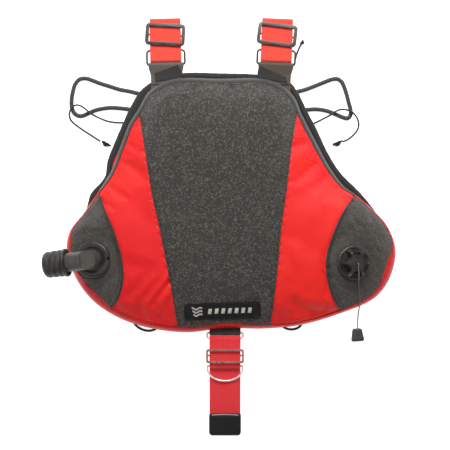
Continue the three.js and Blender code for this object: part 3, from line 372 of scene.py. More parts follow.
# An overhand knot drawn tight: a closed three-lobed loop of the same cord, with a short tail.
def tightKnot(name, centre, turn, size, diameter, body, node):
    loop = []
    for i in range(72):
        t = 2 * math.pi * i / 72
        loop.append(((math.sin(t) + 2 * math.sin(2 * t)) / 2.6, (math.cos(t) - 2 * math.cos(2 * t)) / 2.6,
                     -math.sin(3 * t)))
    half = np.array(size) / 2 - diameter / 2
    loop = np.array(loop) * half
    spin = np.array(Matrix.Rotation(math.radians(turn), 3, "Z"))
    piece = tubeAlong(name, loop @ spin.T + centre, circleSection(diameter / 2, 10), cordSheath, closed=True)
    tail = np.array([(half[0] * 0.5, 0, 0), (half[0] * 1.1, 0.8, 0.3), (half[0] * 1.55, 2.2, 0)])
    tailLine = throughPoints(tail @ spin.T + centre)
    end = tubeAlong(name + "_tail", tailLine, circleSection(diameter * 0.42, 8), cordSheath)
    pick(piece)
    end.select_set(True)
    bpy.ops.object.join()
    outward(piece)
    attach(piece, body)
    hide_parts(node)
    return piece


print("cords")
pullRoute = [
    (211.9, -60, 61), (212.4, -60.1, 63.4), (212.8, -61.4, 64.9), (213.1, -64.5, 65), (213.4, -70, 63.7),
    (213.8, -76, 63.5), (214.1, -79.8, 62.9), (214.5, -83.2, 60), (214.9, -86.2, 54.5), (215.2, -89.4, 46.5),
    (215.5, -92.6, 41), (216, -97, 38.6), (216.6, -103, 36.6), (217.6, -111, 34.2), (218.3, -118, 30.6),
    (218.8, -124.8, 26.7), (219, -130.2, 20.1), (219.1, -134, 12.3), (219, -138.3, 5), (218.7, -143.5, 2),
    (218, -151, 1.6), (217.4, -159, 2.8), (217, -166.4, 5.2),
]
bungeeLeftRoute = [
    (-133, 211.8, 3.8), (-141, 213.5, 3.8), (-151, 216, 3.8), (-167, 219, 3.8), (-183, 224, 3.8),
    (-199, 229, 3.8), (-212, 234, 3.8), (-222, 237, 3.8), (-232, 235.5, 3.8), (-239, 228, 3.8),
    (-243, 215, 3.8), (-245, 202, 3.8), (-244.5, 190, 3.8), (-241, 181.5, 3.8), (-234, 176.5, 3.8),
    (-227, 176.5, 3.8), (-218, 180.5, 3.8), (-208, 185, 3.8), (-196, 188, 3.8), (-181, 189.5, 3.8),
    (-167, 188.8, 3.8), (-156, 187.5, 3.8), (-148, 186.3, 3.8),
]
lightLeftRoute = [
    (-157, 165.2, 2.4), (-163.5, 165.5, 2), (-175, 166, 2), (-187, 168, 2.2), (-197, 171.5, 3.8),
    (-206, 175.5, 7.6), (-214, 180.5, 10.3), (-221.5, 186.5, 10.4), (-228.5, 191.5, 9.2), (-236, 193.6, 9.2),
    (-242.5, 191, 10.3), (-246.5, 185, 10), (-248.5, 178, 6.6), (-246.5, 170, 3), (-239, 162.5, 2),
    (-228, 154.5, 2), (-215, 146, 2), (-205, 139.5, 2.6), (-198.4, 135.4, 3.6),
]
bungeeRightRoute = [
    (113, 213.5, 3.8), (121.5, 216, 3.8), (133, 219, 3.8), (149, 225, 3.8), (165, 231.5, 3.8),
    (176, 235.5, 3.8), (185, 236, 3.8), (192, 231, 3.8), (196.5, 221, 3.8), (200, 210, 3.8), (203, 198, 3.8),
    (206, 187, 3.8), (206, 178, 3.8), (201, 172.5, 3.8), (193.5, 174, 3.8), (183, 178.5, 3.8),
    (171, 183.5, 3.8), (158, 186.5, 3.8), (147, 187.2, 3.8), (138, 186.6, 3.8), (130, 185.9, 3.8),
]
lightRightRoute = [
    (142, 162.8, 2.4), (149, 165.5, 2), (155.5, 168.5, 2.2), (162, 171.8, 3.8), (169, 175, 7.6),
    (176, 179.5, 10.3), (183.5, 184.2, 10.2), (191, 186.4, 9.2), (198.5, 185.8, 9.8), (205.5, 183.4, 10.4),
    (212, 178.6, 8.6), (217, 172, 4.4), (219.5, 163.5, 2.2), (217.5, 154.5, 2), (211, 146, 2),
    (202.5, 139, 2.4), (193.6, 134.6, 3.6),
]
hemLeftRoute = [
    (-146, -152.5, 2.4), (-143, -160, 2.4), (-135, -167, 2.4), (-123, -171, 2.4), (-112, -169.5, 2.4),
    (-106, -165, 2.4), (-104.5, -161.5, 2.4),
]
hemRightRoute = [
    (93, -158.6, 2.4), (97, -164.5, 2.4), (106, -168.5, 2.4), (117, -168, 2.4), (124.5, -163.5, 2.4),
    (127, -155, 2.4),
]
ringRoute = [  # starts on the ring's wire and ends inside the knot
    (116.2, 266, 8.9), (117, 269.5, 6.6), (118, 273, 5), (119.6, 278, 3), (121.6, 283, 2.1), (124, 288.4, 2),
    (126, 291.6, 2.3), (127.8, 294.8, 2.8),
]
# each knot: centre, turn in degrees, size and cord diameter, body, CAD node
knots = {"knot_left_tied": ((-190, 131, 4), -30, (15, 8, 7.4), 3, "vest", "knot_left"),
         "knot_right_tied": ((184.5, 131.5, 4), 22, (16, 8, 7.4), 3, "vest", "knot_right"),
         "ring_knot_tied": ((128, 295.2, 2.9), 55, (8.4, 6.4, 5), 2.2, "shoulder_right", "ring_knot")}
knotLeft, knotRight, ringKnot = [tightKnot(name, *values) for name, values in knots.items()]
# each cord: CAD node, route, diameter, sheath, body, what its far end meets, stiffness, pieces tied on it
cordList = [
    ("bungee_left", bungeeLeftRoute, 7, bungeeSheath, "vest", "object", "medium", []),
    ("bungee_right", bungeeRightRoute, 7, bungeeSheath, "vest", "object", "medium", []),
    ("light_cord_left", lightLeftRoute, 3, cordSheath, "vest", "knot", "limp", [knotLeft]),
    ("light_cord_right", lightRightRoute, 3, cordSheath, "vest", "knot", "limp", [knotRight]),
    ("hem_loop_left", hemLeftRoute, 4, cordSheath, "vest", "object", "medium", []),
    ("hem_loop_right", hemRightRoute, 4, cordSheath, "vest", "object", "medium", []),
    ("ring_cord", ringRoute, 3, cordSheath, "shoulder_right", "knot", "limp", [ringKnot]),
]
for name, route, diameter, sheath, body, farEnd, stiffness, onCord in cordList:
    piece, line = roundCord(name + "_braid", route, diameter, sheath, body)
    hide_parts(name)

# toggle at the end of the pull cord
toggle = {"top": (217, -167, 5.3), "length": 21, "width": (15, 22), "height": 10, "lean": 4, "edge": 3.4,
          "dish": 1.3, "dishWidth": 5, "dishLength": 5.5}
pullDiameter = 1.8


def toggleGrip():
    bpy.ops.mesh.primitive_cube_add(size=1, location=(0, 0, 0))
    grip = bpy.context.active_object
    grip.name = "toggle_grip"
    grip.scale = (toggle["width"][0], toggle["length"], toggle["height"])
    bpy.ops.object.transform_apply(scale=True)
    for v in grip.data.vertices:
        if v.co.y < 0:
            v.co.x *= toggle["width"][1] / toggle["width"][0]
    bpy.ops.object.mode_set(mode="EDIT")
    bpy.ops.mesh.select_all(action="SELECT")
    bpy.ops.mesh.bevel(offset=toggle["edge"], segments=4, affect="EDGES")
    bpy.ops.mesh.select_all(action="SELECT")
    bpy.ops.mesh.subdivide(number_cuts=2)
    bpy.ops.object.mode_set(mode="OBJECT")
    for v in grip.data.vertices:  # shallow thumb dish on the upper face
        if v.co.z > 4:
            away = (v.co.x / toggle["dishWidth"]) ** 2 + ((v.co.y + 1) / toggle["dishLength"]) ** 2
            v.co.z -= toggle["dish"] * math.exp(-away)
    grip.data.materials.append(toggleRubber)
    x, y, z = toggle["top"]
    turn = Matrix.Rotation(math.radians(toggle["lean"]), 4, "Z")
    grip.data.transform(Matrix.Scale(mm, 4) @ Matrix.Translation((x, y - toggle["length"] / 2, z)) @ turn)
    grip.data.shade_smooth()
    return grip


grip = toggleGrip()
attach(grip, "pull")
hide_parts("pull_toggle")
piece, line = roundCord("pull_cord_braid", pullRoute, pullDiameter, pullSheath, "pull", 10)
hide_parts("pull_cord")

print("air cell")
cell = {"centre": (0, 16), "edge": 13.6, "loft": 33.0, "low": 10.8, "pressure": 4.0, "voxel": 6.0, "cap": 4.0,
        "wall": 0.5, "fill": 0.8, "seat": 31.0, "blend": 42.0, "heldNear": 34, "heldFar": 48}
wingOutline = [
    (-78, 234), (-5, 235), (68, 234), (97, 222), (115, 204), (126, 178), (149, 133), (172, 91), (194, 62),
    (212, 49), (241, 24), (264, -2), (277, -40), (267, -86), (243, -117), (190, -141), (125, -160),
    (63, -166), (3, -165), (-58, -172), (-118, -165), (-167, -149), (-207, -123), (-235, -87), (-251, -40),
    (-246, -10), (-224, 19), (-198, 57), (-180, 86), (-165, 126), (-151, 162), (-136, 186), (-118, 215),
]
padOutline = [
    (-65, 245), (-5, 245), (52, 243), (104, 233), (117, 219), (134, 186), (151, 154), (168, 118), (190, 83),
    (222, 50), (248, 17), (262, -10), (268, -42), (258, -82), (237, -110), (188, -133), (125, -152),
    (63, -158), (3, -158), (-58, -163), (-118, -157), (-163, -142), (-200, -118), (-227, -84), (-243, -42),
    (-238, -12), (-223, 16), (-214, 49), (-199, 66), (-190, 80), (-186, 105), (-175, 133), (-159, 170),
    (-143, 202), (-130, 220), (-110, 233),
]


def portAxes(joint):  # unit axes x, y and z as rows
    z = np.array(joints[joint]["axis"], float)
    z /= np.linalg.norm(z)
    y = np.array([0, 1.0, 0])
    return np.array([np.cross(y, z), y, z])


inflatorSpot = np.array(joints["elbow_swivel"]["pos_m"], float) / mm
inflatorAxes = portAxes("elbow_swivel")
valveAxes = portAxes("poppet_lift")
valveSpot = np.array([206, -60, 40.26])  # the poppet slides, so its joint gives no place
ports = [(inflatorSpot, inflatorAxes[2]), (valveSpot, valveAxes[2])]


def reachTable(outline):
    line = throughPoints(outline, closed=True, perSpan=24) - cell["centre"]
    angle = np.arctan2(line[:, 1], line[:, 0])
    order = np.argsort(angle)
    return angle[order], np.hypot(line[:, 0], line[:, 1])[order]


wingReach = reachTable(wingOutline)
padReach = reachTable(padOutline)


def reachAt(angle, table=wingReach):
    return np.interp(angle, table[0], table[1], period=2 * math.pi)


def onOutline(angle, share, table=wingReach):
    reach = reachAt(angle, table) * share
    x, y = cell["centre"]
    return np.stack([x + reach * np.cos(angle), y + reach * np.sin(angle)], -1)


def shareOf(x, y):
    dx, dy = x - cell["centre"][0], y - cell["centre"][1]
    return np.hypot(dx, dy) / reachAt(np.arctan2(dy, dx))


def smoothstep(value, low, high):
    t = np.clip((value - low) / (high - low), 0, 1)
    return t * t * (3 - 2 * t)


# The cell's top as patterned, flat where each port is bolted through.
def plainHeight(x, y):
    z = cell["edge"] + cell["loft"] * np.sqrt(np.clip(1 - shareOf(x, y) ** 4, 0, 1))
    for spot, axis in ports:
        plane = spot[2] - ((x - spot[0]) * axis[0] + (y - spot[1]) * axis[1]) / axis[2]
        weight = 1 - smoothstep(np.hypot(x - spot[0], y - spot[1]), cell["seat"], cell["blend"])
        z = z + (plane - z) * weight
    return z


def closedPillow(name, table, shares, top, bottom, steps, material):
    angles = np.linspace(-math.pi, math.pi, steps, endpoint=False)
    upper = [onOutline(angles, s, table) for s in shares]
    middle = np.array(cell["centre"])
    points = [[*cell["centre"], top(middle[:1], middle[1:])[0]]]
    points += [[x, y, z] for ring in upper for (x, y), z in zip(ring, top(ring[:, 0], ring[:, 1]))]
    points += [[x, y, bottom(s)] for s, ring in zip(shares[::-1], upper[::-1]) for x, y in ring]
    points.append([*cell["centre"], bottom(0)])
    rings = 2 * len(shares)
    faces = []
    for i in range(steps):
        j = (i + 1) % steps
        faces.append((0, 1 + i, 1 + j))
        for r in range(rings - 1):
            a, b = 1 + r * steps, 1 + (r + 1) * steps
            faces.append((a + i, b + i, b + j, a + j))
        last = 1 + (rings - 1) * steps
        faces.append((last + i, len(points) - 1, last + j))
    return meshFrom(name, points, faces, material)


def coordinates(piece):
    found = np.zeros(len(piece.data.vertices) * 3, np.float32)
    piece.data.vertices.foreach_get("co", found)
    return found.reshape(-1, 3).astype(float)


def setCoordinates(piece, points):
    piece.data.vertices.foreach_set("co", np.asarray(points, np.float32).ravel())
    piece.data.update()


# Cloth under pressure: remeshed, inflated for 20 frames, and no point moves further than cap.
def inflate(piece, voxel, pressure, cap, pinned):
    piece.data.remesh_voxel_size = voxel * mm
    pick(piece)
    bpy.ops.object.voxel_remesh()
    before = coordinates(piece)
    group = piece.vertex_groups.new(name="pinned")
    held = pinned(before / mm)
    for weight in np.unique(np.round(held, 2)):
        if weight > 0:
            group.add(np.nonzero(np.round(held, 2) == weight)[0].tolist(), float(weight), "REPLACE")
    cloth = piece.modifiers.new("Cloth", "CLOTH")
    cloth.settings.use_pressure = True
    cloth.settings.uniform_pressure_force = pressure
    cloth.settings.effector_weights.gravity = 0
    cloth.settings.vertex_group_mass = "pinned"
    cloth.settings.quality = 4
    cloth.settings.shrink_min = -0.02
    cloth.settings.tension_stiffness = cloth.settings.compression_stiffness = 12
    cloth.settings.bending_stiffness = 0.4
    cloth.collision_settings.use_collision = False
    cloth.point_cache.frame_start, cloth.point_cache.frame_end = 1, 20
    for step in range(1, 21):
        bpy.context.scene.frame_set(step)
    pick(piece)
    bpy.ops.object.modifier_apply(modifier="Cloth")
    bpy.context.scene.frame_set(1)
    after = coordinates(piece)
    move = after - before
    far = np.linalg.norm(move, axis=1)
    move *= (np.minimum(far, cap * mm) / np.maximum(far, 1e-9))[:, None]
    setCoordinates(piece, before + move)
    return before / mm, (before + move) / mm


def heldRim(p):  # the rim, the underside and both port seats are sewn down
    rim = 1 - smoothstep(p[:, 2] - cell["edge"], 2.0, 14.0)
    for spot, axis in ports:
        far = np.hypot(p[:, 0] - spot[0], p[:, 1] - spot[1])
        rim = np.maximum(rim, 1 - smoothstep(far, cell["heldNear"], cell["heldFar"]))
    return rim


shares = [*np.linspace(0.06, 0.84, 14), 0.88, 0.91, 0.94, 0.96, 0.975, 0.987, 0.994]
cellBag = closedPillow("air_cell_bag", wingReach, shares, lambda x, y: plainHeight(x, y) - cell["wall"],
                       lambda s: cell["low"], 120, shellCloth)
before, after = inflate(cellBag, cell["voxel"], cell["pressure"], cell["cap"], heldRim)
swell = after[:, 2] - before[:, 2]
topside = before[:, 2] > cell["edge"] + 1
least, most = float(swell[topside].min()), float(swell[topside].max())
print("air cell moves", round(least, 2), "to", round(most, 2), "mm")
cellTree = BVHTree.FromPolygons(after.tolist(), [list(p.vertices) for p in cellBag.data.polygons])


# Folds: (start, end, width, depth), a soft furrow along each line with a rise beside it.
folds = [
    ((-112, -126), (-86, -92), 5, 2.6), ((-86, -92), (-78, -74), 4, 1.8),
    ((-128, -118), (-104, -92), 7, 1.6), ((-150, -112), (-122, -84), 9, 1.5),
    ((-96, -140), (-80, -112), 5, 1.6), ((-140, 40), (-118, 8), 16, 1.2),
    ((-150, -60), (-120, -70), 12, 1.4), ((-160, 110), (-136, 92), 11, 0.9),
    ((115, -122), (155, -146), 11, 2.4), ((104, -96), (128, -106), 12, 1.2),
    ((150, 60), (128, 40), 16, 1.0), ((140, -40), (112, -20), 14, 1.0),
    ((100, -40), (112, -78), 9, 1.0), ((-60, 190), (20, 205), 20, 1.0),
    ((-60, -110), (20, -118), 16, 1.4), ((40, -60), (70, -110), 14, 1.1),
    ((-70, 60), (-30, 30), 24, 0.9), ((30, 100), (70, 140), 20, 0.9),
    ((-232, -20), (-214, -6), 8, 0.9), ((240, -100), (222, -116), 8, 1.0), ((236, 4), (250, -20), 8, 0.8),
]


def foldDepth(x, y):
    total = np.zeros_like(x)
    for (ax, ay), (bx, by), width, depth in folds:
        dx, dy = bx - ax, by - ay
        far = math.hypot(dx, dy)
        along = ((x - ax) * dx + (y - ay) * dy) / far
        across = ((x - ax) * -dy + (y - ay) * dx) / far + 0.12 * width * np.sin(along / width)
        ends = np.exp(-(np.maximum(np.maximum(-along, along - far), 0) / width) ** 2)
        furrow = np.exp(-(across / width) ** 2)
        rise = 0.55 * np.exp(-((across - 1.5 * width) / width) ** 2)
        total -= depth * ends * (furrow - rise)
    return total


def calm(x, y):  # 0 at the rim and under the ports, 1 where the fabric is free
    free = 1 - smoothstep(shareOf(x, y), 0.9, 0.985)
    for spot, axis in ports:
        free = free * smoothstep(np.hypot(x - spot[0], y - spot[1]), 30, 40)
    return free


def cellHeight(x, y):
    x, y = np.asarray(x, float), np.asarray(y, float)
    base = plainHeight(x, y)
    found = np.array(base)
    for i in np.ndindex(x.shape):
        hit = cellTree.ray_cast((x[i], y[i], 120.0), (0, 0, -1))
        if hit[0] is not None:
            found[i] = hit[0].z + cell["wall"]
    free = calm(x, y)
    return base + (found - base) * free + foldDepth(x, y) * free


points = coordinates(cellBag) / mm
upper = points[:, 2] > cell["edge"] + 3
points[upper, 2] = np.minimum(points[upper, 2], cellHeight(points[upper, 0], points[upper, 1]) - 1.2)
setCoordinates(cellBag, points * mm)
cellBag.data.shade_smooth()
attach(cellBag, "vest")
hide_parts("rear_shell", "air_bladder")

print("pad")
padSize = {"thick": 8.0, "round": 2.6, "voxel": 5.0, "pressure": 1.5, "cap": 2.0, "fill": 0.5}


def padTop(x, y):
    dx, dy = x - cell["centre"][0], y - cell["centre"][1]
    inset = reachAt(np.arctan2(dy, dx), padReach) - np.hypot(dx, dy)
    return padSize["thick"] - padSize["round"] * (1 - smoothstep(inset, -1, 6)) - 0.6


padShares = [*np.linspace(0.1, 0.9, 9), 0.93, 0.955, 0.97, 0.98, 0.99, 0.997]
pad = closedPillow("back_pad_cushion", padReach, padShares, padTop,
                   lambda s: 0.5 + 1.6 * smoothstep(s, 0.96, 1.0), 120, padCloth)
inflate(pad, padSize["voxel"], padSize["pressure"], padSize["cap"],
        lambda p: 1 - smoothstep(np.abs(p[:, 2] - padSize["thick"] / 2), 2.0, 3.2))
points = coordinates(pad) / mm
points[:, 2] = np.clip(points[:, 2], 0.15, padSize["thick"] + 0.2)
setCoordinates(pad, points * mm)
pad.data.shade_smooth()
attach(pad, "vest")
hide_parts("back_pad")

# Rolled edge of the pad, puckered by its stitching.
roll = {"inset": 4.2, "level": 4.6, "half": (4.6, 4.2), "square": 0.6, "sideways": 0.05, "upwards": 0.07}
rim = evenly(throughPoints(padOutline, closed=True), 620, closed=True)
steps = np.arange(len(rim))
pucker = 0.45 * np.sin(steps * 0.93) + 0.3 * np.sin(steps * 2.17 + 1) + 0.25 * np.sin(steps * 0.31)
around = np.linspace(0, 2 * math.pi, 14, endpoint=False)
section = np.array([[math.copysign(abs(v) ** roll["square"], v) for v in (math.cos(t), math.sin(t))] for t in around])
inward = -(rim - cell["centre"]) / np.linalg.norm(rim - cell["centre"], axis=1)[:, None]
edgeLine = np.column_stack([rim + inward * roll["inset"], np.full(len(rim), roll["level"])])
padEdge = tubeAlong("pad_edge_roll", edgeLine, section * roll["half"], blackTape, closed=True, upright=(0, 0, 1))
points = coordinates(padEdge) / mm
ring = np.repeat(pucker, len(section))
away = points[:, :2] - np.repeat(edgeLine[:, :2], len(section), 0)
points[:, :2] += away * (roll["sideways"] * ring)[:, None]
points[:, 2] = roll["level"] + (points[:, 2] - roll["level"]) * (1 + roll["upwards"] * ring)
setCoordinates(padEdge, points * mm)
outward(padEdge)
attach(padEdge, "vest")

print("panels")
cloth = {"lift": 1.6, "pinch": 1.5, "pinchWidth": 3.6, "pucker": 0.28, "puckerWidth": 6, "thick": 1.1}
topLeft = [(-78, 231), (-108, 222), (-129, 201), (-134, 176)]
topRight = [(68, 231), (97, 218), (113, 201), (120, 184)]
seamLeft = [(-134, 176), (-125, 122), (-113, 49), (-102, 0), (-86, -81), (-72, -167)]
seamRight = [(120, 184), (110, 130), (102, 65), (93, 0), (86, -73), (76, -161)]
patchLeftIn = [(-199, 50), (-193, 32), (-181, 5), (-170, -24), (-162, -60), (-161, -89), (-168, -113),
               (-180, -131)]
patchRightIn = [(210, 45), (191, 18), (175, -18), (166, -50), (167, -81), (175, -110), (188, -133)]
redLeftOut = [(-138, 176), (-151, 160), (-165, 126), (-177, 100), (-182, 77), (-197, 54)]
redRightOut = [(123, 182), (136, 158), (152, 125), (171, 91), (193, 61), (208, 49)]
hemLeftIn = [(-176, -141), (-160, -146), (-114, -160), (-75, -167)]
hemRightIn = [(184, -138), (157, -148), (125, -156.5), (80, -161)]


def outerEdge(start, end, share, count=60):  # keeps to the outline, from one angle to another in degrees
    return onOutline(np.radians(np.linspace(start, end, count)), share)


def seamCurve(*runs):
    return np.vstack([throughPoints(run) for run in runs])


def sewnPanel(name, left, right, rows, columns, material, node, slotName, lift):
    a, b = evenly(left, rows), evenly(right, rows)
    across = np.linspace(0, 1, columns)
    flat = a[:, None, :] * (1 - across)[None, :, None] + b[:, None, :] * across[None, :, None]
    x, y = flat[..., 0], flat[..., 1]
    edge = np.vstack([left, right])
    near = np.full(x.shape, 1e9)
    for px, py in edge[::3]:
        near = np.minimum(near, (x - px) ** 2 + (y - py) ** 2)
    near = np.sqrt(near)
    z = cellHeight(x, y) + cloth["lift"] + lift - cloth["pinch"] * np.exp(-(near / cloth["pinchWidth"]) ** 2)
    along = np.arange(rows)[:, None]  # puckers where the thread pulls
    fade = cloth["pucker"] * np.exp(-(near / cloth["puckerWidth"]) ** 2)
    z += fade * np.sin(along * 1.9 + 2 * across[None, :]) * calm(x, y)
    points = np.stack([x, y, z], -1).reshape(-1, 3)
    uv = np.stack([x, y], -1).reshape(-1, 2) * mm
    faces = [(r * columns + c, (r + 1) * columns + c, (r + 1) * columns + c + 1, r * columns + c + 1)
             for r in range(rows - 1) for c in range(columns - 1)]
    piece = meshFrom(name, points, faces, material, uv)
    applied(piece, "WELD", merge_threshold=0.2 * mm)
    if sum(p.normal.z * p.area for p in piece.data.polygons) < 0:
        piece.data.flip_normals()
    applied(piece, "SOLIDIFY", thickness=cloth["thick"] * mm, offset=-1)
    piece.data.shade_smooth()
    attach(piece, "vest")
    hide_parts(node)


centreLeft = seamCurve(topLeft, seamLeft)
centreRight = seamCurve(topRight, seamRight)
redLeft = seamCurve(redLeftOut, patchLeftIn, hemLeftIn)
redRight = seamCurve(redRightOut, patchRightIn, hemRightIn)
patchRim = {"left": outerEdge(169.5, 219, 0.988), "right": outerEdge(368.5, 321.5, 0.988)}
# each panel: CAD node, left edge, right edge, rows and columns, cloth, slot, lift above its neighbours
for node, left, right, mesh, material, slotName, lift in [
        ("centre_panel", centreLeft, centreRight, (170, 84), centreCloth, "grey_fabric", 0.25),
        ("red_panel_left", redLeft, seamCurve(seamLeft), (190, 36), redCloth, "red_fabric", 0),
        ("red_panel_right", seamCurve(seamRight), redRight, (190, 36), redCloth, "red_fabric", 0),
        ("valve_patch_left", patchRim["left"], seamCurve(patchLeftIn), (100, 36), patchCloth, "grey_fabric", 0.2),
        ("valve_patch_right", seamCurve(patchRightIn), patchRim["right"], (100, 36), patchCloth, "grey_fabric", 0.2)]:
    sewnPanel(node + "_cloth", left, right, *mesh, material, node, slotName, lift)

print("hem and binding")
# how far each folded edge reaches in over the cell, as (degrees round the outline, width)
hemWidths = [(168, 2.4), (185, 2.6), (190, 7), (200, 9), (212, 13), (225, 10), (240, 8), (270, 7), (300, 5),
             (320, 5.5), (335, 9), (340, 14), (345, 12), (350, 4), (360, 2.8), (369, 2.4)]
bindWidths = [(8.4, 3), (14, 6), (40, 8), (90, 9), (140, 8), (162, 6), (169, 3)]
foldTop = [(1, 0.7), (0.72, 1.15), (0.4, 1.1), (0.14, 0.75)]  # share of the width inwards, share of the rise
foldSide = [(-0.2, 14.9), (-0.9, 13.6), (-1.0, 12.2), (-0.4, 11.0), (1.6, 10.7), (2.2, 11.6), (1.4, 13.2)]


def foldedEdge(name, widths, steps, rise, material, ripple, node):
    degrees = np.linspace(widths[0][0], widths[-1][0], steps)
    angles = np.radians(degrees)
    width = np.interp(degrees, *np.array(widths).T)
    width = width * (1 + 0.06 * np.sin(degrees * 0.9) * np.sin(degrees * 0.37))
    rings = []
    for i, angle in enumerate(angles):
        rim = onOutline(np.array([angle]), 1.0)[0]
        inward = np.array(cell["centre"]) - rim
        inward = inward / np.linalg.norm(inward)
        wave = ripple * (math.sin(i * 0.83) + 0.6 * math.sin(i * 1.71 + 2) + 0.5 * math.sin(i * 0.29))
        ring = []
        for share, high in foldTop:
            at = rim + inward * width[i] * share
            ring.append((*at, float(cellHeight(at[0], at[1])) + 1.2 + rise * high + wave * share))
        ring += [(*(rim + inward * d), z + 0.3 * wave) for d, z in foldSide]
        for share in (0.5, 0.96):
            at = rim + inward * width[i] * share
            ring.append((*at, float(cellHeight(at[0], at[1])) + 0.6))
        rings.append(ring)
    sides = len(rings[0])
    points = np.array(rings).reshape(-1, 3)
    far = lengthAlong(onOutline(angles, 1.0))
    across = np.concatenate([[0], np.cumsum(np.linalg.norm(np.diff(np.array(rings[0]), axis=0), axis=1))])
    uv = np.stack([np.tile(across, steps), np.repeat(far, sides)], 1) * mm
    last = (steps - 1) * sides
    faces = [(a + j, a + (j + 1) % sides, a + sides + (j + 1) % sides, a + sides + j)
             for a in range(0, last, sides) for j in range(sides)]
    faces += [list(range(sides)), [last + j for j in range(sides)]]
    piece = outward(meshFrom(name, points, faces, material, uv))
    applied(piece, "SUBSURF", levels=1, render_levels=1)
    piece.data.shade_smooth()
    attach(piece, "vest")
    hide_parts(node)


foldedEdge("bottom_hem_rolled", hemWidths, 320, 1.3, hemPaintedShadeRed, 0.16, "bottom_hem")
foldedEdge("top_binding_tape", bindWidths, 300, 1.2, blackTape, 0.3, "top_binding")
piping = {"sides": 12, "rows": 90, "lift": 1.0, "thin": 1.8, "full": 3.2}


# Piping that stands in the seam between patch and panel, fuller towards the hem.
def pipedSeam(name, seam, node):
    sides = piping["sides"]
    line = evenly(throughPoints(seam), piping["rows"])[2:]
    route = np.column_stack([line, cellHeight(line[:, 0], line[:, 1]) + piping["lift"]])
    piece = outward(tubeAlong(name, route, circleSection(1.0, sides), blackTape))
    points = coordinates(piece) / mm
    radius = np.repeat(np.linspace(piping["thin"], piping["full"], len(route)), sides)[:, None]
    middle = np.repeat(route, sides, 0)
    setCoordinates(piece, (middle + (points[:len(middle)] - middle) * radius) * mm)
    piece.data.shade_smooth()
    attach(piece, "vest")
    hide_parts(node)


pipedSeam("piping_left_cord", patchLeftIn, "piping_left")
pipedSeam("piping_right_cord", patchRightIn, "piping_right")


# A row of stitches, each a short tapered length of thread: share is its part of the pitch, lean tilts it.
def stitchRow(name, line, pitch, share, radius, lift, material, lean=0.0):
    far = lengthAlong(line)
    count = int(far[-1] / pitch)
    sides = 5
    points, faces = [], []
    for k in range(count):
        ends = []
        for at in ((k + 0.5 - share / 2) * pitch, (k + 0.5 + share / 2) * pitch):
            ends.append(np.array([np.interp(at, far, line[:, 0]), np.interp(at, far, line[:, 1])]))
        ahead = ends[1] - ends[0]
        ahead /= np.linalg.norm(ahead)
        side = np.array([-ahead[1], ahead[0]])
        ends = [ends[0] - side * lean * radius, ends[1] + side * lean * radius]
        z = [float(cellHeight(p[0], p[1])) + lift for p in ends]
        start = len(points)
        for part, size, up in ((0, 0.35, -0.6), (0.2, 1, 0), (0.8, 1, 0), (1, 0.35, -0.6)):
            middle = ends[0] * (1 - part) + ends[1] * part
            for j in range(sides):
                turn = 2 * math.pi * j / sides
                at = middle + side * radius * size * math.cos(turn)
                high = radius * (size * math.sin(turn) + up)
                points.append((*at, z[0] * (1 - part) + z[1] * part + high))
        for a in range(start, start + 3 * sides, sides):
            b = a + sides
            faces += [(a + j, a + (j + 1) % sides, b + (j + 1) % sides, b + j) for j in range(sides)]
        faces += [list(range(start, start + sides)), list(range(start + 3 * sides, start + 4 * sides))]
    piece = outward(meshFrom(name, points, faces, material, np.zeros((len(points), 2))))
    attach(piece, "vest")


def shifted(line, distance):  # a line moved sideways, to its left when distance is positive
    ahead = np.gradient(line, axis=0)
    ahead /= np.linalg.norm(ahead, axis=1)[:, None]
    return line + np.stack([-ahead[:, 1], ahead[:, 0]], 1) * distance


print("stitching")
stitch = {"pitch": 4.2, "centreIn": 3.2, "redIn": 4.0, "patchIn": 4.6, "topShare": 0.952, "hemShare": 0.948}
seamLines = {"left": evenly(seamCurve(seamLeft), 300), "right": evenly(seamCurve(seamRight), 300)}
patchLines = {"left": evenly(throughPoints(patchLeftIn), 160), "right": evenly(throughPoints(patchRightIn), 160)}
for end, way in (("left", 1), ("right", -1)):
    centreLine = shifted(seamLines[end], way * stitch["centreIn"])
    redLine = shifted(seamLines[end], -way * stitch["redIn"])
    patchLine = shifted(patchLines[end], -way * stitch["patchIn"])[8:-14]
    stitchRow("centre_stitch_" + end, centreLine, stitch["pitch"], 0.66, 0.42, 1.9, threadBlack,
              way * 1.6)
    stitchRow("red_stitch_" + end, redLine, stitch["pitch"], 0.62, 0.38, 1.6, threadRed)
    stitchRow("patch_stitch_" + end, patchLine, stitch["pitch"], 0.62, 0.38, 1.8, threadBlack)
topArc = outerEdge(60, 122, stitch["topShare"], 200)
stitchRow("top_edge_stitch", topArc, 6.5, 0.55, 0.5, 1.8, threadBlack)
hemArc = outerEdge(236, 318, stitch["hemShare"], 260)
stitchRow("hem_edge_stitch", hemArc, stitch["pitch"], 0.62, 0.4, 1.9, threadRed)

print("label")
label = {"at": (-1, -137), "size": (121, 27), "turn": 1.8, "lift": 2.4, "corner": 5, "border": 5, "bar": 3.6,
         "barPitch": 10.6, "bars": 7, "waveGap": 5.2, "wave": 1.5, "stroke": 1.4, "markLift": 1.15}
turn = math.radians(label["turn"])


def onLabel(u, v, lift):
    x = label["at"][0] + u * math.cos(turn) - v * math.sin(turn)
    y = label["at"][1] + u * math.sin(turn) + v * math.cos(turn)
    return np.stack([x, y, cellHeight(x, y) + label["lift"] + lift], -1)


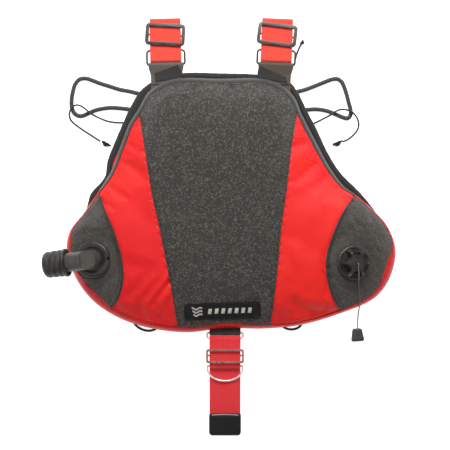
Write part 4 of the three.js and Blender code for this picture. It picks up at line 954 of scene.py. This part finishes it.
def labelPiece(name, outlineUv, lift, thick, material, edge):
    bpy.ops.object.select_all(action="DESELECT")
    points = onLabel(outlineUv[:, 0], outlineUv[:, 1], lift)
    piece = meshFrom(name, points, [list(range(len(points)))], material)
    pick(piece)
    bpy.ops.object.mode_set(mode="EDIT")
    bpy.ops.mesh.select_all(action="SELECT")
    bpy.ops.mesh.extrude_region_move(TRANSFORM_OT_translate={"value": (0, 0, thick * mm)})
    bpy.ops.object.mode_set(mode="OBJECT")
    outward(piece)
    applied(piece, "BEVEL", width=edge * mm, segments=2, limit_method="ANGLE", angle_limit=math.radians(50))
    applied(piece, "TRIANGULATE")
    pick(piece)
    bpy.ops.object.shade_smooth_by_angle(angle=math.radians(35))
    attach(piece, "vest")
    return piece


def roundedOutline(width, height, radius, each=6, step=6.0):
    corners = []
    for sx, sy, start in ((1, -1, -90), (1, 1, 0), (-1, 1, 90), (-1, -1, 180)):
        for k in range(each + 1):
            t = math.radians(start + 90 * k / each)
            corners.append((sx * (width / 2 - radius) + radius * math.cos(t),
                            sy * (height / 2 - radius) + radius * math.sin(t)))
    corners = np.array(corners)
    return evenly(corners, int(lengthAlong(np.vstack([corners, corners[:1]]))[-1] / step * 3), closed=True)


plate = labelPiece("label_plate", roundedOutline(*label["size"], label["corner"]), -0.8, 2.0, blackRubber, 0.6)
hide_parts("label")
border = roundedOutline(label["size"][0] - label["border"], label["size"][1] - label["border"], 3.6)
frameLine = tubeAlong("label_border", onLabel(border[:, 0], border[:, 1], 1.3), circleSection(0.42, 6),
                      blackRubber, closed=True)
outward(frameLine)
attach(frameLine, "vest")
for row in (-1, 0, 1):  # three plain waves
    u = np.linspace(-52, -32, 40)
    v = row * label["waveGap"] + label["wave"] * np.sin((u + 52) * 0.47)
    points = np.vstack([np.column_stack([u, v + label["stroke"]]), np.column_stack([u, v - label["stroke"]])[::-1]])
    labelPiece("label_wave_%d" % (row + 2), points, label["markLift"], 0.5, printAndHighlightGrey, 0.15)
for k in range(label["bars"]):  # plain lozenges beside them
    u0, half = -20 + label["barPitch"] * k, label["bar"]
    points = np.array([(u0 - half, -4.2), (u0 + half - 1.6, -4.2), (u0 + half, 4.2), (u0 - half + 1.6, 4.2)])
    labelPiece("label_bar_%d" % (k + 1), points, label["markLift"], 0.5, printAndHighlightGrey, 0.15)


# A ring is turned from its (radius, height) corners; the last corner joins the first round the bore.
def turned(name, corners, material, sides, edge):
    bpy.ops.object.select_all(action="DESELECT")
    radius, height = corners[0]
    bpy.ops.mesh.primitive_circle_add(vertices=sides, radius=radius * mm, location=(0, 0, height * mm))
    piece = bpy.context.active_object
    piece.name = name
    bpy.ops.object.transform_apply(location=True)
    bpy.ops.object.mode_set(mode="EDIT")
    bpy.ops.mesh.select_all(action="SELECT")
    ends = list(corners) + [corners[0]]
    for (r0, z0), (r1, z1) in zip(ends, ends[1:]):
        bpy.ops.mesh.extrude_edges_move(TRANSFORM_OT_translate={"value": (0, 0, (z1 - z0) * mm)})
        bpy.ops.transform.resize(value=(r1 / r0, r1 / r0, 1))
    bpy.ops.mesh.select_all(action="SELECT")
    bpy.ops.mesh.remove_doubles(threshold=0.01 * mm)
    bpy.ops.mesh.normals_make_consistent(inside=False)
    bpy.ops.object.mode_set(mode="OBJECT")
    piece.data.materials.append(material)
    if edge:
        applied(piece, "BEVEL", width=edge * mm, segments=3, limit_method="ANGLE", angle_limit=math.radians(25))
    pick(piece)
    bpy.ops.object.shade_smooth_by_angle(angle=math.radians(40))
    return piece


def cut(piece, tool, how="DIFFERENCE"):
    applied(piece, "BOOLEAN", object=tool, operation=how, solver="EXACT")
    bpy.data.objects.remove(tool)
    return piece


def block(size, place=(0, 0, 0), turnZ=0.0, edge=0.0):  # a tool for cuts, or a start for a frame
    bpy.ops.object.select_all(action="DESELECT")
    bpy.ops.mesh.primitive_cube_add(size=1)
    piece = bpy.context.active_object
    spin, shift = Matrix.Rotation(math.radians(turnZ), 4, "Z"), Matrix.Translation([v * mm for v in place])
    piece.data.transform(spin @ shift @ Matrix.Diagonal([v * mm for v in size] + [1]))
    if edge:
        applied(piece, "BEVEL", width=edge * mm, segments=3)
    return piece


def rod(radius, start, end, sides=48):  # a round bar between two points in millimetres
    bpy.ops.object.select_all(action="DESELECT")
    a, b = Vector(start) * mm, Vector(end) * mm
    bpy.ops.mesh.primitive_cylinder_add(vertices=sides, radius=radius * mm, depth=(b - a).length)
    piece = bpy.context.active_object
    turnTo = (b - a).to_track_quat("Z", "Y").to_matrix().to_4x4()
    piece.data.transform(Matrix.Translation((a + b) / 2) @ turnTo)
    return piece


def seated(piece, matrix, body, node=None, material=None, smooth=38):
    piece.data.transform(matrix)
    if material:
        piece.data.materials.clear()
        piece.data.materials.append(material)
    pick(piece)
    bpy.ops.object.shade_smooth_by_angle(angle=math.radians(smooth))
    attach(piece, body)
    if node:
        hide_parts(node)
    return piece


def axesMatrix(spot, axes):
    turnTo = Matrix([list(row) for row in axes]).transposed().to_4x4()
    return Matrix.Translation([v * mm for v in spot]) @ turnTo


print("inflator")
inflatorAt = axesMatrix(inflatorSpot, inflatorAxes)
valveAt = axesMatrix(valveSpot, valveAxes)
elbow = {"radius": 15.2, "bore": 10.4, "height": 26, "reach": 40, "turn": 187, "foot": 9.4, "top": 38.6,
         "stub": 12.6, "edge": 1.7}
nut = turned("inflator_nut_moulded", [
    (15.9, 3.5), (27.6, 3.5), (28.9, 4.4), (29, 6.6), (28, 8.4), (25.8, 9.5), (22.6, 9.8), (19.4, 9.2),
    (17.4, 8.2), (15.9, 7.9)], darkPlastic, 96, 0.5)
for angle in (4, 184):  # grip notches for the spanner
    cut(nut, block((7, 5.2, 12), (28.6, 0, 8), angle, 1.2))
seated(nut, inflatorAt, "vest", "inflator_nut", darkPlastic)

arm = rod(elbow["radius"], (0, 0, elbow["height"]), (elbow["reach"], 0, elbow["height"]), 72)
post = rod(elbow["radius"], (0, 0, 3.2), (0, 0, elbow["top"]), 72)
cut(arm, post, "UNION")
cut(arm, block((60, 60, 10), (-20, 0, elbow["top"] + 3.6)))
pick(arm)
bpy.ops.object.mode_set(mode="EDIT")
bpy.ops.mesh.select_all(action="SELECT")
bpy.ops.mesh.dissolve_limited(angle_limit=math.radians(1))
bpy.ops.object.mode_set(mode="OBJECT")
foot = rod(elbow["stub"], (0, 0, -2), (0, 0, 8))  # the stub turns in the nut
cut(arm, turned("foot_relief", [
    (elbow["stub"], 0), (40, 0), (40, elbow["foot"]), (15.9, elbow["foot"] + 0.6),
    (elbow["stub"], elbow["foot"] - 0.4)], darkPlastic, 72, 0))
cut(arm, foot, "UNION")
cut(arm, rod(elbow["bore"], (0, 0, -10), (0, 0, elbow["height"])))
cut(arm, rod(elbow["bore"], (0, 0, elbow["height"]), (elbow["reach"] + 30, 0, elbow["height"])))
applied(arm, "BEVEL", width=elbow["edge"] * mm, segments=4, limit_method="ANGLE", angle_limit=math.radians(35))
armAt = inflatorAt @ Matrix.Rotation(math.radians(elbow["turn"]), 4, "Z")
seated(arm, armAt, "elbow", "inflator_elbow", elbowPlastic)
arm.name = "inflator_elbow_moulded"
hoseAt = armAt @ Matrix.Translation((0, 0, elbow["height"] * mm)) @ Matrix.Rotation(math.pi / 2, 4, "Y")
collar = turned("hose_collar_ring", [
    (15.6, 34.6), (20.6, 34.6), (22.2, 35.8), (22.5, 37.6), (22.2, 39.4), (20.8, 40.6), (15.6, 40.6)],
    capPlastic, 84, 0.5)
seated(collar, hoseAt, "elbow", "hose_collar", capPlastic)
cuff = turned("hose_cuff_moulded", [
    (11, 41), (19.4, 41), (20.6, 42), (21.4, 44), (21.4, 48), (20.8, 49.4), (19.3, 50.2), (19.3, 51.2),
    (20.6, 52.2), (21.2, 54.4), (21.2, 58), (20.6, 59.4), (19, 60.2), (19, 61.2), (20.2, 62.2),
    (20.9, 64.4), (20.8, 67), (20, 69.6), (18.2, 71.8), (15.4, 73), (12.6, 73), (11, 71.6)],
    cuffRubber, 84, 0.45)
seated(cuff, hoseAt, "elbow", "hose_cuff", cuffRubber)

print("dump valve")
ribs = {"inside": 25.5, "count": 30, "depth": 0.03}
base = turned("dump_base_moulded", [
    (13.4, 3.5), (26.4, 3.5), (27.4, 4.4), (27.5, 6.4), (26.6, 7.4), (24.6, 7.9), (13.4, 7.9)],
    darkPlastic, 180, 0)
for v in base.data.vertices:  # moulded grip ribs round the rim
    r = math.hypot(v.co.x, v.co.y)
    if r > ribs["inside"] * mm:
        ease = 1 - ribs["depth"] * (0.5 - 0.5 * math.cos(ribs["count"] * math.atan2(v.co.y, v.co.x)))
        v.co.x *= ease
        v.co.y *= ease
seated(base, valveAt, "vest", "dump_base", darkPlastic, 60)
windows = {"count": 6, "size": (11, 12.4, 7.4), "out": 19.6, "up": 17.6, "lean": -0.6, "corner": 2.2}
cap = turned("dump_cap_moulded", [
    (16, 8.8), (23.4, 8.8), (24, 9.6), (24, 13), (23.2, 14.4), (21, 18.4), (19.6, 21.4), (18, 22.8),
    (15.6, 23.1), (4, 23.2), (1.7, 22.4), (1.7, 20.6), (15.2, 20.4), (16.4, 18.6), (19.4, 13), (19.4, 10.6),
    (16, 10.4)], capPlastic, 96, 0.3)
for k in range(windows["count"]):  # drain windows through the sloping side, each below a scallop
    turnTo = Matrix.Rotation(math.radians(30 + 360 // windows["count"] * k), 4, "Z")
    window = block(windows["size"], edge=windows["corner"])
    lean = Matrix.Rotation(windows["lean"], 4, "Y")
    window.data.transform(turnTo @ Matrix.Translation((windows["out"] * mm, 0, windows["up"] * mm)) @ lean)
    cut(cap, window)
    scallop = rod(10, (26.5, 0, 10), (19.4, 0, 34), 40)
    scallop.data.transform(turnTo)
    cut(cap, scallop)
cut(cap, block((3.4, 9.4, 8), (0, -3, 22), 0, 1.6))  # slot that the pull cord slides along as it is drawn out
seated(cap, valveAt, "vest", "dump_cap", capPlastic)

print("harness")
strap = {"width": 50, "thick": 2, "loop": 2.95, "fold": 3.35, "crotchFold": 3.5, "wire": 1.6,
         "shoulderSlope": 5.963, "crotchSlope": 3.501}


def hingeAt(joint, turnDegrees, slope):
    place = Matrix.Translation(joints[joint]["pos_m"]) @ Matrix.Rotation(math.radians(turnDegrees), 4, "Z")
    return place, place @ Matrix.Rotation(math.radians(-slope), 4, "X")


def tapeSection(width, thick):  # flat tape with a rounded selvedge
    half, edge = width / 2, thick / 2
    turns = np.linspace(-math.pi / 2, math.pi / 2, 7)
    side = [(edge * math.sin(t), half - edge + edge * math.cos(t)) for t in turns]
    return [(-x, y) for x, y in side] + [(x, -y) for x, y in side]


# Tape that follows a side path of (along, up) points across the local X axis.
def tape(name, path, matrix, body, material, node, closed=False, width=strap["width"], count=160):
    line = evenly(np.array(path, float), count, closed)
    line = np.column_stack([np.zeros(len(line)), line])
    section = tapeSection(width, strap["thick"])
    piece = outward(tubeAlong(name, line, section, material, closed, upright=(1, 0, 0)))
    return seated(piece, matrix, body, node, None, 50)


def arc(at, radius, start, end, steps=10):
    return [(at + radius * math.cos(math.radians(t)), radius * math.sin(math.radians(t)))
            for t in np.linspace(start, end, steps)]


def wireLoop(name, line, radius, matrix, body, material, node):
    data = bpy.data.curves.new(name, "CURVE")
    data.dimensions, data.bevel_depth, data.bevel_resolution = "3D", radius * mm, 4
    spline = data.splines.new("POLY")
    spline.points.add(len(line) - 1)
    for point, place in zip(spline.points, line):
        point.co = (*[v * mm for v in place], 1)
    spline.use_cyclic_u = True
    piece = bpy.data.objects.new(name, data)
    bpy.context.scene.collection.objects.link(piece)
    pick(piece)
    bpy.ops.object.convert(target="MESH")
    piece = outward(bpy.context.active_object)
    return seated(piece, matrix, body, node, material, 80)


def roundedLoop(width, high, radius):  # a flat loop that starts at the hinge
    line = roundedOutline(width, high, radius, 8, 1.6)
    return np.column_stack([line[:, 0], line[:, 1] + high / 2, np.zeros(len(line))])


def slab(outline, low, thick):  # a flat outline drawn up into a plate
    points = np.column_stack([outline, np.full(len(outline), low)])
    piece = meshFrom("slab", points, [list(range(len(outline)))], slidePlastic)
    pick(piece)
    bpy.ops.object.mode_set(mode="EDIT")
    bpy.ops.mesh.select_all(action="SELECT")
    bpy.ops.mesh.extrude_region_move(TRANSFORM_OT_translate={"value": (0, 0, thick * mm)})
    bpy.ops.object.mode_set(mode="OBJECT")
    return outward(piece)


# A ladder slide: outer frame, lugs and a middle bar that the webbing passes over.
def slideFrame(name, width, height, bar, corner, thick, edge):
    high = strap["loop"] + 2.95  # middle of the frame, clear above the webbing
    piece = slab(roundedOutline(width, height, corner, 8, 2.0), high - thick / 2, thick)
    cut(piece, slab(roundedOutline(width - 2 * bar, height - 2 * bar, 2.2, 6, 2.0), high - 9, 18))
    for side in (-1, 1):
        lug = block((bar - 1, 3.6, high + 1), (side * (width / 2 - bar / 2), 0, high / 2 - 0.6), edge=0.4)
        cut(piece, lug, "UNION")
    cut(piece, rod(1.45, (-(width - bar) / 2, 0, 0), ((width - bar) / 2, 0, 0), 24), "UNION")
    applied(piece, "BEVEL", width=edge * mm, segments=3, limit_method="ANGLE", angle_limit=math.radians(40))
    piece.name = name
    return piece


# A black flap of pad cover sewn slantwise over the foot of each tab.
flaps = {"left": [(-111, 244.4), (-72.5, 257.6), (-62.5, 240), (-109, 230)],
         "right": [(57.5, 257), (101, 238.5), (104, 228), (54, 238)],
         "heights": [(227.5, 12.7), (242.5, 13.3), (249.5, 14.8), (257.6, 17)], "wave": 0.3, "thick": 0.9}


def flapOver(side):
    corners = np.array(flaps[side], float)
    u, v = np.meshgrid(np.linspace(0, 1, 24), np.linspace(0, 1, 14))
    u, v = u[..., None], v[..., None]
    place = (corners[0] * (1 - u) + corners[1] * u) * (1 - v) + (corners[3] * (1 - u) + corners[2] * u) * v
    z = np.interp(place[..., 1], *zip(*flaps["heights"]))
    z = z + flaps["wave"] * np.sin(3 * u + 1)[..., 0] * v[..., 0]
    points = np.dstack([place, z]).reshape(-1, 3)
    starts = [r * 24 + c for r in range(13) for c in range(23)]
    faces = [(a, a + 1, a + 25, a + 24) for a in starts]
    flap = meshFrom("tab_flap_" + side, points, faces, blackTape, points[:, :2] * mm)
    if sum(p.normal.z for p in flap.data.polygons) < 0:
        flap.data.flip_normals()
    applied(flap, "SOLIDIFY", thickness=flaps["thick"] * mm, offset=1)
    applied(flap, "BEVEL", width=0.4 * mm, segments=2, limit_method="ANGLE", angle_limit=math.radians(50))
    flap.data.shade_smooth()
    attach(flap, "vest")


# each side's tab cloth is a painted-light copy of the same dark webbing
shoulders = [("left", 1.5, -4.5, tabPaintedLitGrey), ("right", -2.4, -4.6, tabPaintedLitBrown)]
for side, turnDegrees, slideTurn, tabPaintedLitCloth in shoulders:
    fixed, swung = hingeAt("shoulder_swing_" + side, turnDegrees, strap["shoulderSlope"])
    body, r = "shoulder_" + side, strap["loop"]
    full = strap["fold"]
    path = [(-42, -r), *arc(0, full, -90, 90), (-8, full - 2.1), (-15, -r + 2.6), (-30, -r + 2.1)]
    tab = tape("shoulder_tab_webbing_" + side, path, Matrix.Identity(4), "vest", tabPaintedLitCloth,
               "shoulder_tab_" + side)
    points = coordinates(tab)
    ears = 0.13 * smoothstep(points[:, 1] / mm, -17, -2)  # they reach out to the ring's corners
    points[:, 0] *= 1 + ears
    setCoordinates(tab, points)
    tab.data.transform(fixed)
    flapOver(side)
    wireLoop("shoulder_ring_wire_" + side, roundedLoop(61, 24.3, 5), strap["wire"], swung, body,
             blackWire, "shoulder_ring_" + side)
    path = [*arc(8.8, full, 270, 90), (18, r), *arc(73.05, r, 90, -90)]
    tape("shoulder_webbing_" + side, path, swung, body, webbingPaintedLitCoral,
         "shoulder_strap_" + side, True, count=150)
    slide = slideFrame("shoulder_slide_moulded_" + side, 64, 36, 5.6, 6.5, 3.4, 1.2)
    atSlide = swung @ Matrix.Translation((0, 48.9 * mm, 0)) @ Matrix.Rotation(math.radians(slideTurn), 4, "Z")
    seated(slide, atSlide, "slide_" + side, "shoulder_slide_" + side, slidePlastic)

fixed, swung = hingeAt("crotch_swing", 180, strap["crotchSlope"])
r = strap["loop"]
full = strap["crotchFold"]
path = [(-46, -r), *arc(0, full, -90, 90), (-6, -r + 2.4), (-28, -r + 2.1)]
tape("crotch_tab_webbing", path, fixed, "vest", blackWebbing, "crotch_tab")
wireLoop("crotch_ring_wire", roundedLoop(58, 9.2, 4), strap["wire"], swung, "crotch", brightWire,
         "crotch_ring")
path = [(134, -r), *arc(9.2, full, 270, 90), (17, r), *arc(54.3, r, 90, -60), (52.6, -r + 1.6)]
tape("crotch_webbing", path, swung, "crotch", deepWebbing, "crotch_strap", count=220)
slide = slideFrame("crotch_slide_steel", 61, 22.6, 3.2, 3, 3.2, 1.1)
seated(slide, swung @ Matrix.Translation((0, 37.4 * mm, 0)), "crotch_adjuster", "crotch_slide", slideSteelPaintedReflection)
half = [(28.5 * math.cos(t), 54.3 + 4 + 20.3 * math.sin(t), 0) for t in np.linspace(0, math.pi, 48)]
line = evenly(np.array([(-28.5, 54.3, 0), (28.5, 54.3, 0), *half]), 120, True)
wireLoop("crotch_d_ring_wire", line, strap["wire"], swung, "d_ring", brightWire, "crotch_d_ring")
sleeveAt = Matrix.Translation((3 * mm, -304.6 * mm, 5.4 * mm)) @ Matrix.Rotation(math.pi, 4, "Z")
sleeve = [*arc(5.1, 4.1, 270, 90), *arc(30.5, 4.1, 90, -90)]
rubberSleeve = tape("end_sleeve_rubber", sleeve, Matrix.Identity(4), "crotch", blackRubber,
                    "end_sleeve", True, 51.4)
points = coordinates(rubberSleeve) / mm
# its corners are drawn in, more at the far end than at the near one
reach = np.sqrt(np.clip(1 - (np.clip(points[:, 1] - 29, 0, 6.6) / 7) ** 2, 0.1, 1))
near = np.sqrt(np.clip(1 - (np.clip(3 - points[:, 1], 0, 3) / 4.5) ** 2, 0.1, 1))
drawnIn = 7 * (1 - reach) + 2.5 * (1 - near)
points[:, 0] -= np.sign(points[:, 0]) * drawnIn * smoothstep(np.abs(points[:, 0]), 12, 25)
setCoordinates(rubberSleeve, points * mm)
rubberSleeve.data.transform(sleeveAt)
# A thin pale line along the sleeve's edge that faces the top light: a painted highlight.
sleeveHighlightLine = [(x, 1.2 + 0.002 * x * x, 10.0) for x in np.linspace(-21, 21, 30)]
sleeveHighlight = outward(tubeAlong("sleeve_painted_highlight", sleeveHighlightLine, circleSection(0.55, 8), printAndHighlightGrey))
seated(sleeveHighlight, sleeveAt @ Matrix.Translation((0, 0, -5.4 * mm)), "crotch")

# webbing between the pad and the air cell that carries the three anchor tabs
carrier = {"level": 9.3, "spine": (3, -126.9, 163.6), "yoke": (188.9, -113, 105)}
spineX, low, high = carrier["spine"]
path = [(low, carrier["level"]), (high, carrier["level"])]
lengthways = Matrix.Translation((spineX * mm, 0, 0))
tape("spine_webbing_tape", path, lengthways, "vest", webbingPaintedLitCoral, "spine_webbing")
yokeY, low, high = carrier["yoke"]
across = Matrix.Translation((0, yokeY * mm, 0)) @ Matrix.Rotation(math.radians(-90), 4, "Z")
path = [(low, carrier["level"]), (high, carrier["level"])]
tape("yoke_webbing_tape", path, across, "vest", webbingPaintedLitCoral, "yoke_webbing")

# finishes of the frame's own pieces inside the ports
inner = {"inflator_flange": darkPlastic, "dump_flange": darkPlastic, "inflator_gasket": blackRubber,
         "dump_gasket": blackRubber, "elbow_o_ring": blackRubber, "dump_poppet": capPlastic,
         "dump_spring": brightWire}
for name, node in frame["nodes"].items():
    if not node.hide_render:
        print("frame node shown:", name)
        for found in node.material_slots:
            found.material = inner.get(name, darkPlastic)

print("floor and light")
light = {"key": 23.0, "fill": 4.2, "world": 0.34, "floor": -0.6 * mm, "glow": 0.8}
bpy.context.scene.view_settings.view_transform = "Standard"
bpy.ops.mesh.primitive_grid_add(x_subdivisions=4, y_subdivisions=4, size=12, location=(0, 0, light["floor"]))
floor = bpy.context.active_object
floor.name = "studio_floor"
white = linear("#FFFFFF")
# matt white paper that glows a little, so that it stays white under the soft light
paper = {"Base Color": white, "Emission Color": white, "Emission Strength": light["glow"], "Roughness": 0.9}
floor.data.materials.append(newMaterial("white_paper", paper)[0])
world = bpy.data.worlds.new("studio")
world.use_nodes = True
world.node_tree.nodes["Background"].inputs[0].default_value = white
world.node_tree.nodes["Background"].inputs[1].default_value = light["world"]
bpy.context.scene.world = world


def softLight(name, place, target, size, power):
    lamp = bpy.data.lights.new(name, "AREA")
    lamp.shape, lamp.size, lamp.size_y, lamp.energy = "RECTANGLE", size[0], size[1], power
    holder = bpy.data.objects.new(name, lamp)
    holder.location = place
    holder.rotation_euler = (Vector(target) - Vector(place)).to_track_quat("-Z", "Y").to_euler()
    bpy.context.scene.collection.objects.link(holder)


softLight("key_light", (0.1, 1.05, 0.95), (0, 0.05, 0), (1.1, 0.6), light["key"])
softLight("fill_light", (-1.2, -0.3, 1.8), (0, 0, 0), (1.2, 1.2), light["fill"])
